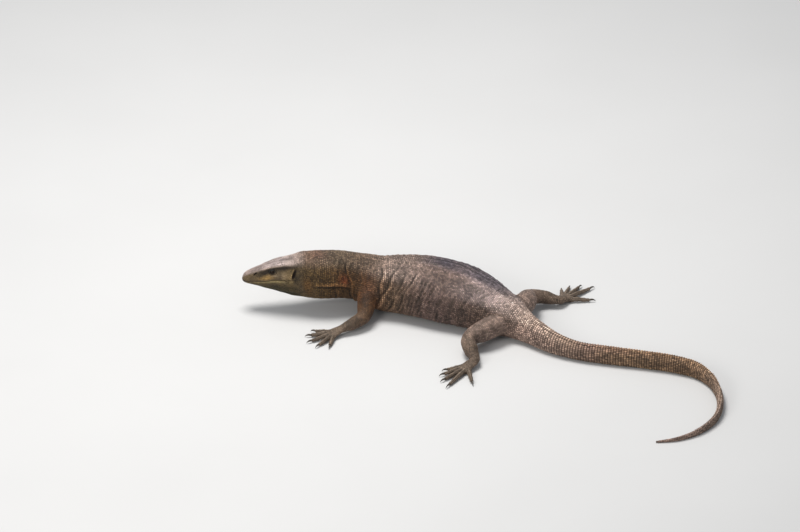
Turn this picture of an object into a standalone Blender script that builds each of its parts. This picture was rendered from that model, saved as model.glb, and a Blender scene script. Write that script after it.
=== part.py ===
"""A bengal monitor, life size, lying on its belly with its head raised and its tail hooked round.

The head points along -X and the left side of the body faces -Y. One loft runs from the snout to the
tail's tip and is parted into head, jaw, neck, torso and lengths of tail. Each leg is a second loft that
is cut where it leaves the torso, with a foot of five toes and five claws. All sizes are in metres.
"""

import math

import bmesh
import bpy
import numpy as np
from mathutils import Matrix, Vector

# Driving sizes
GAP = 0.0003
RING_KEYS = np.linspace(0, 10, 15)
TAIL_KEYS = np.array([0.0, 0.62, 1.3, 2.3, 3.5, 4.8, 6.1, 7.4, 8.7, 10.0])
SNOUT_X = -0.4005
HEAD_Y = 0.1435
HEAD_END = 0.100
EYE_PLACE = (0.0507, 0.0134, 0.0757)
EYE_RADIUS = 0.0052
LID_SIZE = (0.0047, 0.0037, 0.0013)
LID_OUT = 0.0030
EAR_PLACE = (0.0872, 0.0262, 0.0765)
EAR_SIZE = (0.0026, 0.0050, 0.0088)
EAR_LEAN = math.radians(18)
NOSTRIL_PLACE = (0.0225, 0.0092, 0.0687)
NOSTRIL_SIZE = (0.0036, 0.0020, 0.0011)
NOSTRIL_LEAN = math.radians(38)
SHOULDER_AT = 0.214
HIP_AT = 0.478
CREST_HEIGHT = 0.0022
CREST_SHARE = 0.062
TAIL_START = 0.545

# Landmarks from the nape to the tip of the tail: x, y, full width, top, bottom, flatness of the back
BODY = [
    (-0.3205, 0.1437, 0.0563, 0.0945, 0.0265, 2.0),
    (-0.2990, 0.1440, 0.0656, 0.1015, 0.0240, 2.0),
    (-0.2710, 0.1441, 0.0735, 0.1035, 0.0214, 2.0),
    (-0.2290, 0.1510, 0.0768, 0.0983, 0.0185, 2.0),
    (-0.1960, 0.1540, 0.0876, 0.0892, 0.0080, 2.1),
    (-0.1630, 0.1520, 0.1044, 0.0832, -0.0008, 2.2),
    (-0.1180, 0.1486, 0.1255, 0.0829, -0.0012, 2.3),
    (-0.0550, 0.1294, 0.1375, 0.0779, -0.0012, 2.4),
    (0.0000, 0.0944, 0.1110, 0.0710, -0.0012, 2.3),
    (0.0380, 0.0671, 0.0790, 0.0608, -0.0010, 2.1),
    (0.0770, 0.0314, 0.0430, 0.0462, -0.0008, 2.0),
    (0.0950, 0.0134, 0.0363, 0.0423, -0.0007, 1.9),
    (0.1150, -0.0038, 0.0318, 0.0373, -0.0006, 1.8),
    (0.1525, -0.0252, 0.0248, 0.0313, -0.0006, 1.7),
    (0.2030, -0.0416, 0.0195, 0.0299, -0.0005, 1.7),
    (0.2690, -0.0573, 0.0170, 0.0290, -0.0005, 1.7),
    (0.3160, -0.0715, 0.0158, 0.0288, -0.0005, 1.7),
    (0.3500, -0.0890, 0.0150, 0.0272, -0.0005, 1.7),
    (0.3710, -0.1150, 0.0140, 0.0246, -0.0004, 1.7),
    (0.3830, -0.1490, 0.0123, 0.0207, -0.0004, 1.7),
    (0.3855, -0.1880, 0.0104, 0.0172, -0.0003, 1.7),
    (0.3740, -0.2350, 0.0082, 0.0136, -0.0003, 1.8),
    (0.3450, -0.2710, 0.0062, 0.0102, -0.0002, 1.9),
    (0.3105, -0.2900, 0.0042, 0.0068, -0.0002, 2.0),
    (0.2780, -0.2957, 0.0020, 0.0034, -0.0001, 2.0),
]

# The head by its distance from the snout: crown, half width of brow, half width of cheek, mouth, chin
HEAD = [
    (0.0000, 0.0598, 0.0016, 0.0026, 0.0528, 0.0503),
    (0.0022, 0.0633, 0.0038, 0.0050, 0.0529, 0.0490),
    (0.0070, 0.0667, 0.0058, 0.0080, 0.0531, 0.0474),
    (0.0134, 0.0701, 0.0072, 0.0104, 0.0535, 0.0460),
    (0.0269, 0.0760, 0.0092, 0.0141, 0.0553, 0.0428),
    (0.0403, 0.0817, 0.0117, 0.0172, 0.0582, 0.0386),
    (0.0521, 0.0863, 0.0138, 0.0196, 0.0615, 0.0352),
    (0.0672, 0.0902, 0.0161, 0.0228, 0.0634, 0.0305),
    (0.0874, 0.0943, 0.0203, 0.0265, 0.0640, 0.0245),
    (0.1025, 0.1005, 0.0240, 0.0310, 0.0640, 0.0235),
]

# Folds of loose skin: place along the body, lean, depth, width, first and last share of the way down
FOLDS = [
    (0.150, 0.010, 0.0008, 0.0045, 0.20, 0.75),
    (0.176, 0.023, 0.0016, 0.0042, 0.20, 0.85),
    (0.197, -0.008, 0.0009, 0.0045, 0.20, 0.60),
    (0.235, -0.010, 0.0016, 0.0045, 0.18, 0.62),
    (0.248, -0.062, 0.0016, 0.0045, 0.18, 0.62),
    (0.268, -0.055, 0.0010, 0.0045, 0.20, 0.64),
    (0.288, -0.055, 0.0008, 0.0045, 0.20, 0.64),
]
THROAT_CREASE = (0.113, 0.178, 0.50, 0.0018)

# Where the loft is parted: name, start, end, spacing of the rings at the start and at the end
PARTS = [
    ("neck", HEAD_END, 0.205, 0.0050, 0.0045),
    ("torso", 0.205, TAIL_START, 0.0045, 0.0140),
    ("tail_base", TAIL_START, 0.640, 0.0090, 0.0100),
    ("tail_front", 0.640, 0.745, 0.0110, 0.0120),
    ("tail_middle", 0.745, 0.850, 0.0110, 0.0080),
    ("tail_bend", 0.850, 0.945, 0.0080, 0.0090),
    ("tail_curl", 0.945, 1.040, 0.0085, 0.0075),
    ("tail_tip", 1.040, None, 0.0075, 0.0050),
]

# Leg joints as out from the body's axis, forward along it and height, with half widths and half heights
ARM_SIZES = [(0.0190, 0.0190), (0.0165, 0.0170), (0.0118, 0.0120), (0.0105, 0.0100), (0.0072, 0.0064)]
LEG_SIZES = [(0.0215, 0.0200), (0.0190, 0.0180), (0.0132, 0.0130), (0.0118, 0.0110), (0.0078, 0.0070)]
PALM_SIZES = [(0.0095, 0.0060), (0.0112, 0.0052), (0.0070, 0.0036)]
LIMBS = {
    "front_left": (SHOULDER_AT, 1, [(0.020, -0.002, 0.044), (0.049, 0.003, 0.034), (0.079, 0.008, 0.020),
                                    (0.095, 0.026, 0.015), (0.106, 0.044, 0.011), (0.116, 0.062, 0.0055)]),
    "front_right": (SHOULDER_AT, -1, [(0.020, 0.000, 0.044), (0.050, -0.006, 0.034), (0.079, -0.010, 0.020),
                                      (0.092, 0.010, 0.015), (0.099, 0.028, 0.011), (0.104, 0.048, 0.0055)]),
    "hind_left": (HIP_AT, 1, [(0.018, 0.000, 0.034), (0.055, 0.010, 0.028), (0.094, 0.016, 0.021),
                              (0.111, -0.004, 0.016), (0.126, -0.024, 0.012), (0.150, -0.022, 0.0055)]),
    "hind_right": (HIP_AT, -1, [(0.018, 0.002, 0.034), (0.050, 0.020, 0.028), (0.083, 0.033, 0.021),
                                (0.103, 0.021, 0.016), (0.117, 0.002, 0.012), (0.140, 0.006, 0.0055)]),
}

# Toes from the inner to the outer one: spread in degrees, length, and the length of the claw
FRONT_TOES = [(-46, 0.024, 0.009), (-22, 0.032, 0.010), (1, 0.036, 0.010), (24, 0.034, 0.010), (52, 0.026, 0.009)]
HIND_TOES = [(-34, 0.026, 0.009), (-17, 0.036, 0.010), (-1, 0.046, 0.010), (15, 0.054, 0.011), (56, 0.034, 0.010)]
TOE_RADIUS = 0.0041
CLAW_RADIUS = 0.0021

# Lines of a toe and of a claw, as share of the length and height, and their half widths and half heights
TOE_LINE = [(0.0, 0.0048), (0.35, 0.0058), (0.70, 0.0044), (1.0, 0.0037)]
TOE_SIZES = [(1.02, 1.05), (0.90, 0.94), (0.76, 0.82), (0.62, 0.66)]
CLAW_LINE = [(0.0, 0.0), (0.35, 0.0008), (0.70, 0.0000), (1.0, -0.0026)]
CLAW_SIZES = [(0.80, 1.00), (0.62, 0.85), (0.36, 0.52), (0.08, 0.10)]

COLOURS = {
    "skin": ((0.150, 0.105, 0.080), 0.62),
    "head_skin": ((0.210, 0.165, 0.135), 0.55),
    "tail_skin": ((0.130, 0.080, 0.055), 0.60),
    "claw": ((0.045, 0.036, 0.028), 0.35),
    "eye": ((0.020, 0.012, 0.008), 0.08),
}


def smooth(xs, ys, x, monotone=True):
    """Reads a table of values ys at xs as a smooth curve at x. A monotone one never overshoots."""
    xs, ys, x = (np.asarray(a, float) for a in (xs, ys, x))
    ys = ys.reshape(len(xs), -1)
    step = np.diff(xs)[:, None]
    slope = np.diff(ys, axis=0) / step
    inner = (slope[1:] * step[:-1] + slope[:-1] * step[1:]) / (step[1:] + step[:-1])
    if monotone:
        same = slope[1:] * slope[:-1] > 0
        steep = 2.0 * np.minimum(abs(slope[1:]), abs(slope[:-1]))
        inner = np.where(same, np.clip(inner, -steep, steep), 0.0)
    ends = np.concatenate([slope[:1], inner, slope[-1:]])
    i = np.clip(np.searchsorted(xs, x) - 1, 0, len(xs) - 2)
    h = step[i]
    t = ((x - xs[i])[:, None]) / h
    return (
        ys[i] * (1 + 2 * t) * (1 - t) ** 2
        + h * ends[i] * t * (1 - t) ** 2
        + ys[i + 1] * t * t * (3 - 2 * t)
        + h * ends[i + 1] * t * t * (t - 1)
    )


def ramp(x, low, high):
    """0 below low, 1 above high and smooth between."""
    t = np.clip((x - low) / (high - low), 0.0, 1.0)
    return t * t * (3 - 2 * t)


BODY_ROWS = np.array(BODY)
HEAD_ROWS = np.array(HEAD)
ROUTE = np.vstack([[SNOUT_X, HEAD_Y], [(SNOUT_X + BODY_ROWS[0, 0]) / 2, HEAD_Y], BODY_ROWS[:, :2]])
ROUTE_AT = np.concatenate([[0.0], np.cumsum(np.hypot(*np.diff(ROUTE, axis=0).T))])
BODY_LENGTH = ROUTE_AT[-1]
KEY_ANGLES = np.radians(np.arange(0, 181, 18))


def axis_at(s):
    """The plan point of the body's axis at the distances s from the snout, and the way to the left there."""
    s = np.atleast_1d(s)
    point = smooth(ROUTE_AT, ROUTE, s, monotone=False)
    nudge = 0.002
    back = smooth(ROUTE_AT, ROUTE, s + nudge, False) - smooth(ROUTE_AT, ROUTE, s - nudge, False)
    back /= np.linalg.norm(back, axis=1)[:, None]
    left = np.stack([back[:, 1], -back[:, 0]], axis=1)
    return point, left


def trunk_keys(s):
    """Half sections of neck, torso and tail at s, as (out, height) keys from the back to the belly."""
    width, top, bottom, flat = smooth(ROUTE_AT[2:], BODY_ROWS[:, 2:], s).T[:, :, None]
    middle = bottom + (top - bottom) * (0.47 - 0.06 * ramp(s, 0.20, 0.30) * (1 - ramp(s, 0.50, 0.60)))[:, None]
    c, d = np.cos(KEY_ANGLES), np.sin(KEY_ANGLES)
    out = width / 2 * np.abs(d) ** (2 / np.maximum(flat, 2.0))
    rise = np.where(c > 0, (top - middle) * np.abs(c) ** (2 / flat), (bottom - middle) * np.abs(c) ** (2 / 2.4))
    return np.stack([out, middle + rise], axis=2)


def head_keys(s):
    """Half sections of the head at s, with a flat crown, sloping cheeks, the lips and a full throat."""
    crown, brow, cheek, mouth, chin = smooth(HEAD_ROWS[:, 0], HEAD_ROWS[:, 1:], s).T
    side, depth = crown - mouth, mouth - chin
    out = [0 * brow, 0.62 * brow, brow, brow + 0.42 * (cheek - brow), brow + 0.88 * (cheek - brow),
           cheek, 0.99 * cheek, 0.97 * cheek, 0.80 * cheek, 0.46 * cheek, 0 * brow]
    height = [crown, crown - 0.02 * side, crown - 0.13 * side, crown - 0.34 * side, crown - 0.62 * side,
              mouth + 0.12 * side, mouth, mouth - 0.18 * depth, mouth - 0.62 * depth, chin + 0.09 * depth, chin]
    return np.stack([np.stack(out, axis=1), np.stack(height, axis=1)], axis=2)


def half_sections(s, places):
    """Smooth half sections at the distances s, with points at these places along the eleven keys."""
    head = head_keys(np.clip(s, 0, HEAD_ROWS[-1, 0]))
    trunk = trunk_keys(np.clip(s, ROUTE_AT[2], BODY_LENGTH))
    share = ramp(s, 0.083, 0.113)[:, None, None]
    keys = head * (1 - share) + trunk * share
    keys = np.concatenate([keys[:, 1:2] * (-1, 1), keys, keys[:, -2:-1] * (-1, 1)], axis=1)
    table = keys.transpose(1, 0, 2).reshape(13, -1)
    points = smooth(np.arange(-1.0, 12.0), table, places, monotone=False).reshape(len(places), len(s), 2)
    return points.transpose(1, 0, 2)


def relief(s, share):
    """How far folds, crease and crest raise the surface at s, this share of the way down the side."""
    raised = np.zeros(np.broadcast(s, share).shape)
    for at, lean, depth, width, first, last in FOLDS:
        off = (s - at - lean * (share - 0.4)) / width
        reach = ramp(share, first - 0.10, first + 0.05) * (1 - ramp(share, last - 0.05, last + 0.10))
        raised += depth * reach * (np.exp(-off**2) - 0.8 * np.exp(-((off + 1.6) ** 2)))
    first, last, level, depth = THROAT_CREASE
    reach = ramp(s, first, first + 0.02) * (1 - ramp(s, last - 0.01, last))
    raised -= depth * reach * np.exp(-(((share - level) / 0.035) ** 2))
    size = CREST_HEIGHT * ramp(s, 0.59, 0.68) * (1 - 0.8 * ramp(s, 0.88, 1.09))
    return raised + size * np.exp(-(((share - CREST_SHARE) / 0.035) ** 2))


def loft_rings(s, places, grow=0.0):
    """Closed rings of the body's surface at the distances s, in world space, swollen by grow."""
    half = half_sections(s, places)
    lift = relief(s[:, None], places[None, :] / 10) + grow
    centre = (half[:, :1, 1] + half[:, -1:, 1]) / 2
    reach = np.hypot(half[:, :, 0], half[:, :, 1] - centre) + 1e-9
    half[:, :, 1] += (half[:, :, 1] - centre) / reach * lift
    half[:, :, 0] += half[:, :, 0] / reach * lift
    half[:, :, 1] = np.maximum(half[:, :, 1], -grow)
    out = np.concatenate([half[:, :, 0], -half[:, -2:0:-1, 0]], axis=1)
    height = np.concatenate([half[:, :, 1], half[:, -2:0:-1, 1]], axis=1)
    point, left = axis_at(s)
    flat = point[:, None, :] + left[:, None, :] * out[:, :, None]
    return np.concatenate([flat, height[:, :, None]], axis=2)


def material(name, kind):
    """The named object's own Principled material, in the colour of its kind."""
    made = bpy.data.materials.new(name)
    made.use_nodes = True
    shader = made.node_tree.nodes["Principled BSDF"]
    colour, rough = COLOURS[kind]
    shader.inputs["Base Color"].default_value = (*colour, 1.0)
    shader.inputs["Roughness"].default_value = rough
    shader.inputs["Metallic"].default_value = 0.0
    made.diffuse_color = (*colour, 1.0)
    return made


def add_rings(bm, rings):
    """Adds a closed tube through the rings, with a cap on each end."""
    rows = [[bm.verts.new(p) for p in ring] for ring in rings]
    for a, b in zip(rows, rows[1:]):
        for i in range(len(a)):
            j = (i + 1) % len(a)
            bm.faces.new((a[i], a[j], b[j], b[i]))
    bm.faces.new(rows[0][::-1])
    bm.faces.new(rows[-1])


def add_object(name, bm, colour):
    """Turns the mesh outward and triangulated, and links it as a named object."""
    bmesh.ops.recalc_face_normals(bm, faces=bm.faces)
    bmesh.ops.triangulate(bm, faces=bm.faces)
    mesh = bpy.data.meshes.new(name)
    bm.to_mesh(mesh)
    bm.free()
    mesh.materials.append(material(name, colour))
    mesh.shade_smooth()
    mesh.set_sharp_from_angle(angle=math.radians(50))
    obj = bpy.data.objects.new(name, mesh)
    bpy.context.scene.collection.objects.link(obj)
    return obj


def tube_object(name, rings, colour):
    bm = bmesh.new()
    add_rings(bm, rings)
    return add_object(name, bm, colour)


def remove(objects):
    for obj in objects:
        mesh = obj.data
        bpy.data.objects.remove(obj)
        for spare in list(mesh.materials):
            bpy.data.materials.remove(spare)
        bpy.data.meshes.remove(mesh)


def boolean(obj, operation, others, keep_others=False):
    """Cuts or joins obj with closed mesh objects, applies it and keeps the largest closed surface."""
    group = bpy.data.collections.new("operands")
    bpy.context.scene.collection.children.link(group)
    for other in others:
        group.objects.link(other)
    step = obj.modifiers.new("step", "BOOLEAN")
    step.operation = operation
    step.solver = "EXACT"
    step.operand_type = "COLLECTION"
    step.collection = group
    made = bpy.data.meshes.new_from_object(obj.evaluated_get(bpy.context.evaluated_depsgraph_get()))
    obj.modifiers.clear()
    old = obj.data
    own = old.materials[0]
    obj.data = made
    bpy.data.meshes.remove(old)
    made.name = obj.name
    made.materials.clear()
    made.materials.append(own)
    for other in others:
        group.objects.unlink(other)
    bpy.data.collections.remove(group)
    if not keep_others:
        remove(others)
    keep_largest(obj)


def keep_largest(obj):
    """Drops all but the closed surface that holds the most space."""
    bm = bmesh.new()
    bm.from_mesh(obj.data)
    bmesh.ops.remove_doubles(bm, verts=bm.verts, dist=1e-6)
    bmesh.ops.dissolve_degenerate(bm, edges=bm.edges, dist=1e-6)
    bmesh.ops.triangulate(bm, faces=bm.faces)
    left = set(bm.faces)
    shells = []
    while left:
        shell, front = set(), [left.pop()]
        while front:
            face = front.pop()
            shell.add(face)
            for edge in face.edges:
                for near in edge.link_faces:
                    if near in left:
                        left.discard(near)
                        front.append(near)
        shells.append(shell)

    def space(shell):
        return abs(sum(f.verts[0].co.dot(f.verts[1].co.cross(f.verts[2].co)) for f in shell if len(f.verts) == 3))

    shells.sort(key=space)
    spare = [face for shell in shells[:-1] for face in shell]
    bmesh.ops.delete(bm, geom=spare, context="FACES")
    for face in bm.faces:
        face.material_index = 0
    bm.to_mesh(obj.data)
    bm.free()


def prism(name, outline, y_low, y_high):
    """A solid of an outline drawn in x and z, from y_low to y_high, as a cutter."""
    bm = bmesh.new()
    add_rings(bm, [[(x, y, z) for x, z in outline] for y in (y_low, y_high)])
    return add_object(name, bm, "skin")


def ball(name, centre, radii, lean, colour="skin", turns=12, rings=8):
    """An ellipsoid, leaned about the y axis."""
    bm = bmesh.new()
    bmesh.ops.create_uvsphere(bm, u_segments=turns, v_segments=rings, radius=1.0)
    c, s = math.cos(lean), math.sin(lean)
    for v in bm.verts:
        x, y, z = (v.co[i] * radii[i] for i in range(3))
        v.co = Vector((centre[0] + c * x + s * z, centre[1] + y, centre[2] - s * x + c * z))
    return add_object(name, bm, colour)


def lid_ring(eye, side):
    """A raised ring round the eye, longer than high and leaned in at the top, that stands for both lids."""
    bm = bmesh.new()
    long, high, thick = LID_SIZE
    rows = []
    for turn in np.linspace(0, 2 * math.pi, 16, endpoint=False):
        along, up = long * math.cos(turn), high * math.sin(turn)
        row = []
        for part in np.linspace(0, 2 * math.pi, 6, endpoint=False):
            grow = 1 + thick / long * math.cos(part)
            out = LID_OUT + thick * math.sin(part) - 0.35 * up
            row.append(bm.verts.new((eye[0] + along * grow, eye[1] - side * out, eye[2] + up * grow)))
        rows.append(row)
    for near, far in zip(rows, rows[1:] + rows[:1]):
        for i in range(6):
            bm.faces.new((near[i], near[i - 1], far[i - 1], far[i]))
    return add_object("lids", bm, "head_skin")


def mouth_line(shift):
    """The mouth's line from in front of the snout to its corner, then down behind the jaw, as x and z."""
    at = np.array([-0.010, 0.0, 0.0134, 0.0269, 0.0403, 0.0521, 0.0640, 0.0735])
    level = smooth(HEAD_ROWS[:, 0], HEAD_ROWS[:, 4], np.clip(at, 0, 1))[:, 0]
    front = [(SNOUT_X + a, z + shift) for a, z in zip(at, level)]
    down = [(SNOUT_X + 0.0790 + shift, 0.0560 + shift), (SNOUT_X + 0.0810 + shift, 0.0)]
    return front + down


def make_head():
    """The head with brows, lids, nostrils and ears, the lower jaw, and the two eyes."""
    s = np.concatenate([[0.0, 0.0008, 0.0024, 0.0050, 0.0090], np.linspace(0.0134, HEAD_END - GAP / 2, 20)])
    head = tube_object("head", loft_rings(s, RING_KEYS), "head_skin")
    for side, word in ((1, "left"), (-1, "right")):
        x, out, z = EYE_PLACE
        eye = (SNOUT_X + x, HEAD_Y - side * out, z)
        boolean(head, "UNION", [lid_ring(eye, side)])
        boolean(head, "DIFFERENCE", [ball("socket", eye, [EYE_RADIUS + GAP] * 3, 0.0)])
        ball("eye_" + word, eye, [EYE_RADIUS] * 3, 0.0, "eye")
        x, out, z = EAR_PLACE
        ear = (SNOUT_X + x, HEAD_Y - side * out, z)
        boolean(head, "DIFFERENCE", [ball("ear_cup", ear, EAR_SIZE, EAR_LEAN)])
        x, out, z = NOSTRIL_PLACE
        nostril = (SNOUT_X + x, HEAD_Y - side * out, z)
        boolean(head, "DIFFERENCE", [ball("nostril", nostril, NOSTRIL_SIZE, -NOSTRIL_LEAN, turns=10, rings=6)])
    jaw = head.copy()
    jaw.name = "lower_jaw"
    jaw.data = head.data.copy()
    jaw.data.materials[0] = material("lower_jaw", "head_skin")
    bpy.context.scene.collection.objects.link(jaw)
    above = mouth_line(GAP / 2)
    below = mouth_line(-GAP / 2)
    wide = (HEAD_Y - 0.06, HEAD_Y + 0.06)
    high = [(SNOUT_X + 0.12, 0.0), (SNOUT_X + 0.12, 0.13), (SNOUT_X - 0.01, 0.13)]
    boolean(head, "INTERSECT", [prism("upper", above + high, *wide)])
    boolean(jaw, "INTERSECT", [prism("lower", below + [(SNOUT_X - 0.01, 0.0)], *wide)])


def stations(first, last, near, far):
    """Places of the rings of one length of the loft, spaced near apart at its start and far at its end."""
    length = (BODY_LENGTH if last is None else last) - first
    count = round(2 * length / (near + far))
    t = np.linspace(0, 1, count + 1)
    t = (near * t + (far - near) / 2 * t * t) / (near + far) * 2
    return first + GAP / 2 + t * (length - (GAP if last else GAP / 2))


def make_body():
    """Neck, torso and the lengths of the tail, each a length of the one loft."""
    for name, *span in PARTS:
        tail = name.startswith("tail")
        rings = loft_rings(stations(*span), TAIL_KEYS if tail else RING_KEYS)
        tube_object(name, rings, "tail_skin" if tail else "skin")


def torso_cutter():
    """The neck and torso swollen by the gap, which the legs are cut by."""
    s = np.concatenate([stations(*span) for name, *span in PARTS[:3]])
    return tube_object("cutter", loft_rings(s, RING_KEYS, grow=GAP), "skin")


def limb_rings(path, sizes, stations, turns=12):
    """Rings of a limb along a smooth path, at stations counted in points of the path, and their directions."""
    path, sizes = np.asarray(path), np.asarray(sizes)
    at = np.concatenate([[0.0], np.cumsum(np.linalg.norm(np.diff(path, axis=0), axis=1))])
    s = np.interp(stations, np.arange(len(path)), at)
    centre = smooth(at, path, s, monotone=False)
    size = smooth(at, sizes, s)
    ahead = np.gradient(centre, axis=0)
    ahead /= np.linalg.norm(ahead, axis=1)[:, None]
    side = np.cross([0.0, 0.0, 1.0], ahead)
    side /= np.linalg.norm(side, axis=1)[:, None]
    up = np.cross(ahead, side)
    a = np.linspace(0, 2 * math.pi, turns, endpoint=False)
    rings = (
        centre[:, None, :]
        + side[:, None, :] * (np.cos(a)[None, :] * size[:, :1])[:, :, None]
        + up[:, None, :] * (np.sin(a)[None, :] * size[:, 1:])[:, :, None]
    )
    rings[:, :, 2] = np.maximum(rings[:, :, 2], 0.0)
    return rings, ahead


def leg_point(root, side, place):
    """A leg's point in world space, from its place out from the axis, forward and up."""
    point, left = axis_at(root)
    out = left[0] * side
    forward = np.array([-left[0][1], left[0][0]])
    flat = point[0] + out * place[0] - forward * place[1]
    return np.array([flat[0], flat[1], place[2]])


def make_toe(name, start, heading, length, claw):
    """One toe as a tube, and its claw as a node of its own that curves down to the floor."""
    ahead = np.array([math.cos(heading), math.sin(heading), 0.0])
    path = [(*(start[:2] + ahead[:2] * length * part), height) for part, height in TOE_LINE]
    rings, way = limb_rings(path, np.array(TOE_SIZES) * TOE_RADIUS, np.linspace(0, 3, 6), turns=8)
    toe = tube_object(name + "_toe", rings, "skin")
    tip = np.array(path[-1]) + way[-1] * GAP
    path = [tip + ahead * claw * part + (0, 0, rise) for part, rise in CLAW_LINE]
    rings, _ = limb_rings(path, np.array(CLAW_SIZES) * CLAW_RADIUS, np.linspace(0, 3, 5), turns=6)
    rings[0] -= ((rings[0] - tip) @ way[-1])[:, None] * way[-1]
    tube_object("claw_" + name, rings, "claw")
    return toe


def make_leg(word, cutter):
    """One leg as upper leg, lower leg and foot, with its claws."""
    root, side, places = LIMBS[word]
    front = word.startswith("front")
    points = [leg_point(root, side, place) for place in places]
    wrist, knuckles = points[4], points[5]
    ahead = knuckles - wrist
    ahead /= np.linalg.norm(ahead)
    path = points[:5] + [wrist + (knuckles - wrist) * 0.45, knuckles, knuckles + ahead * (1, 1, 0) * 0.006]
    sizes = (ARM_SIZES if front else LEG_SIZES) + PALM_SIZES
    rings, way = limb_rings(path, sizes, np.concatenate([np.linspace(0, 4, 19), np.linspace(4.5, 7, 6)]))
    names = ("upper_arm_", "forearm_", "hand_") if front else ("thigh_", "shank_", "foot_")
    lengths = ((0, 10), (9, 19), (18, 25))
    made = []
    for name, (first, last) in zip(names, lengths):
        part = rings[first:last].copy()
        if first:
            part[0] += way[first] * GAP
        made.append(tube_object(name + word, part, "skin"))
    for obj in made[:2]:
        boolean(obj, "DIFFERENCE", [cutter], keep_others=True)
    heading = math.atan2(ahead[1], ahead[0])
    across = np.array([-math.sin(heading), math.cos(heading), 0.0]) * side
    toes = []
    for k, (spread, length, claw) in enumerate(FRONT_TOES if front else HIND_TOES):
        turn = math.radians(spread)
        start = knuckles - ahead * 0.003 + across * 0.0085 * math.sin(turn * 1.3)
        toes.append(make_toe(f"{word}_{k + 1}", start, heading + side * turn, length, claw))
    boolean(made[2], "UNION", toes)


def place_objects():
    """Gives each object an origin in its own middle, and puts the middle of the whole outline at the origin."""
    objects = list(bpy.context.scene.objects)
    corners = np.array([v.co for obj in objects for v in obj.data.vertices])
    low, high = corners.min(axis=0), corners.max(axis=0)
    shift = Vector((-(low[0] + high[0]) / 2, -(low[1] + high[1]) / 2, -low[2]))
    monitor = bpy.data.objects.new("monitor", None)
    bpy.context.scene.collection.objects.link(monitor)
    for obj in objects:
        own = np.array([v.co for v in obj.data.vertices])
        middle = Vector((own.min(axis=0) + own.max(axis=0)) / 2)
        obj.data.transform(Matrix.Translation(-middle))
        obj.location = middle + shift
        obj.parent = monitor


def main():
    for obj in list(bpy.data.objects):
        bpy.data.objects.remove(obj)
    make_head()
    make_body()
    cutter = torso_cutter()
    for word in LIMBS:
        make_leg(word, cutter)
    remove([cutter])
    place_objects()


main()
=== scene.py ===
"""The looks of a bengal monitor, life size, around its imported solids.

One skin covers the whole body, made from the same sections as the solids but finer, with the folds, lids,
lips, nostrils and ears. Over it lie the scales, each a small closed dome or keeled plate, and beside it the
eyes and the claws. Lengths are in metres. Everything is made in the animal's own layout, with the middle of
the eyes at a named place, and is shifted once to where the solids have it.
"""

import math

import bpy
import numpy as np
from mathutils import Matrix, Vector
from mathutils.bvhtree import BVHTree
from mathutils.kdtree import KDTree


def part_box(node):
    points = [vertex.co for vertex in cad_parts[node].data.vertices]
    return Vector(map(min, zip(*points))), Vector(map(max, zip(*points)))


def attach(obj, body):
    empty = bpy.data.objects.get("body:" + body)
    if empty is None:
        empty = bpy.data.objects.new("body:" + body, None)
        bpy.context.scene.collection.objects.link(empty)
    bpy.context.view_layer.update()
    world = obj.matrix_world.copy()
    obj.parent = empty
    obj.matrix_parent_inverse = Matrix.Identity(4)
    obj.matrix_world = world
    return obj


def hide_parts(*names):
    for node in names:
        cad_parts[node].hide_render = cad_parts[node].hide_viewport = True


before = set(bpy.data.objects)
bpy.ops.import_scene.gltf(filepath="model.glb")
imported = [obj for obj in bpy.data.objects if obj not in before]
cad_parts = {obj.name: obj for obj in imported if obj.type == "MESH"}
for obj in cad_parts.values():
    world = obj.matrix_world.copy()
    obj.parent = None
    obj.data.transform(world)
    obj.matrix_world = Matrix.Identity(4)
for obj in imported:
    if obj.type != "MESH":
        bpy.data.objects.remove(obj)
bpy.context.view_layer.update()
rng = np.random.default_rng(7)

# Driving sizes, the same as the solids have
SNOUT_X = -0.4005
HEAD_Y = 0.1435
HEAD_END = 0.100
EYE_PLACE = (0.0507, 0.0134, 0.0757)
EYE_RADIUS = 0.0052
EAR_PLACE = (0.0872, 0.0262, 0.0765)
EAR_SIZE = (0.0021, 0.0050, 0.0084)
EAR_LEAN = math.radians(18)
NOSTRIL_PLACE = (0.0225, 0.0092, 0.0687)
NOSTRIL_SIZE = (0.0034, 0.0030, 0.0010)
NOSTRIL_LEAN = math.radians(38)
SHOULDER_AT = 0.214
HIP_AT = 0.478
CREST_HEIGHT = 0.0022
CREST_SHARE = 0.062
RINGS_FROM = 0.530

# Sizes of the skin: how far it lies inside the solids, and how fine it is
COAT = 0.0004
SIDE_POINTS = 84
SNOUT_RINGS = [0.0002, 0.0005, 0.0010]
BODY_STEPS = [(0.0, 0.100, 0.0007), (0.100, 0.205, 0.0014), (0.205, 0.560, 0.0020), (0.560, 1.0915, 0.0024)]
SNOUT_ROUND = 0.0034
FOLD_SHARPNESS = 0.43
VALLEY = 0.7
FAR_FOLDS = 0.35
# Painted shade in creases and painted highlight on ridges: colour factor per metre of relief, and its limits
PAINTED_CREASE_LIGHT = 880.0
PAINTED_CREASE_LIGHT_RANGE = (-0.58, 1.90)
# Painted shade over the whole skin, so that it is dark in the gaps between the scales
SKIN_PAINTED_SHADE = 0.40
BODY_PATCH = (0.02, 0.02, 0.60, 0.98)
INSIDE_PATCH = (0.985, 0.985, 0.999, 0.999)
LID_THICK = 0.0006
LID_OPEN = (0.0039, 0.0026)
LID_LEAN = 0.10
MOUTH_GAP = 0.0004
MOUTH_CORNER = 0.0765
LEG_FILLET = 0.012
TOE_FILLET = 0.004

# Creases round the eye: place in almond widths, spread, height
LID_CREASES = [(1.08, 0.10, 0.00030), (1.50, 0.13, -0.00042), (1.85, 0.16, 0.00026), (2.20, 0.14, -0.00024)]

# Fine folds of the skin: how far apart they are, and how high
FLANK_FOLDS = (0.0100, 0.00115)
RIBS = (0.0230, 0.00030)
FAR_LINES = (0.0100, 0.00080)
NECK_FOLDS = (0.0110, 0.00024)
SPINE_HEIGHT = 0.0006

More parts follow.
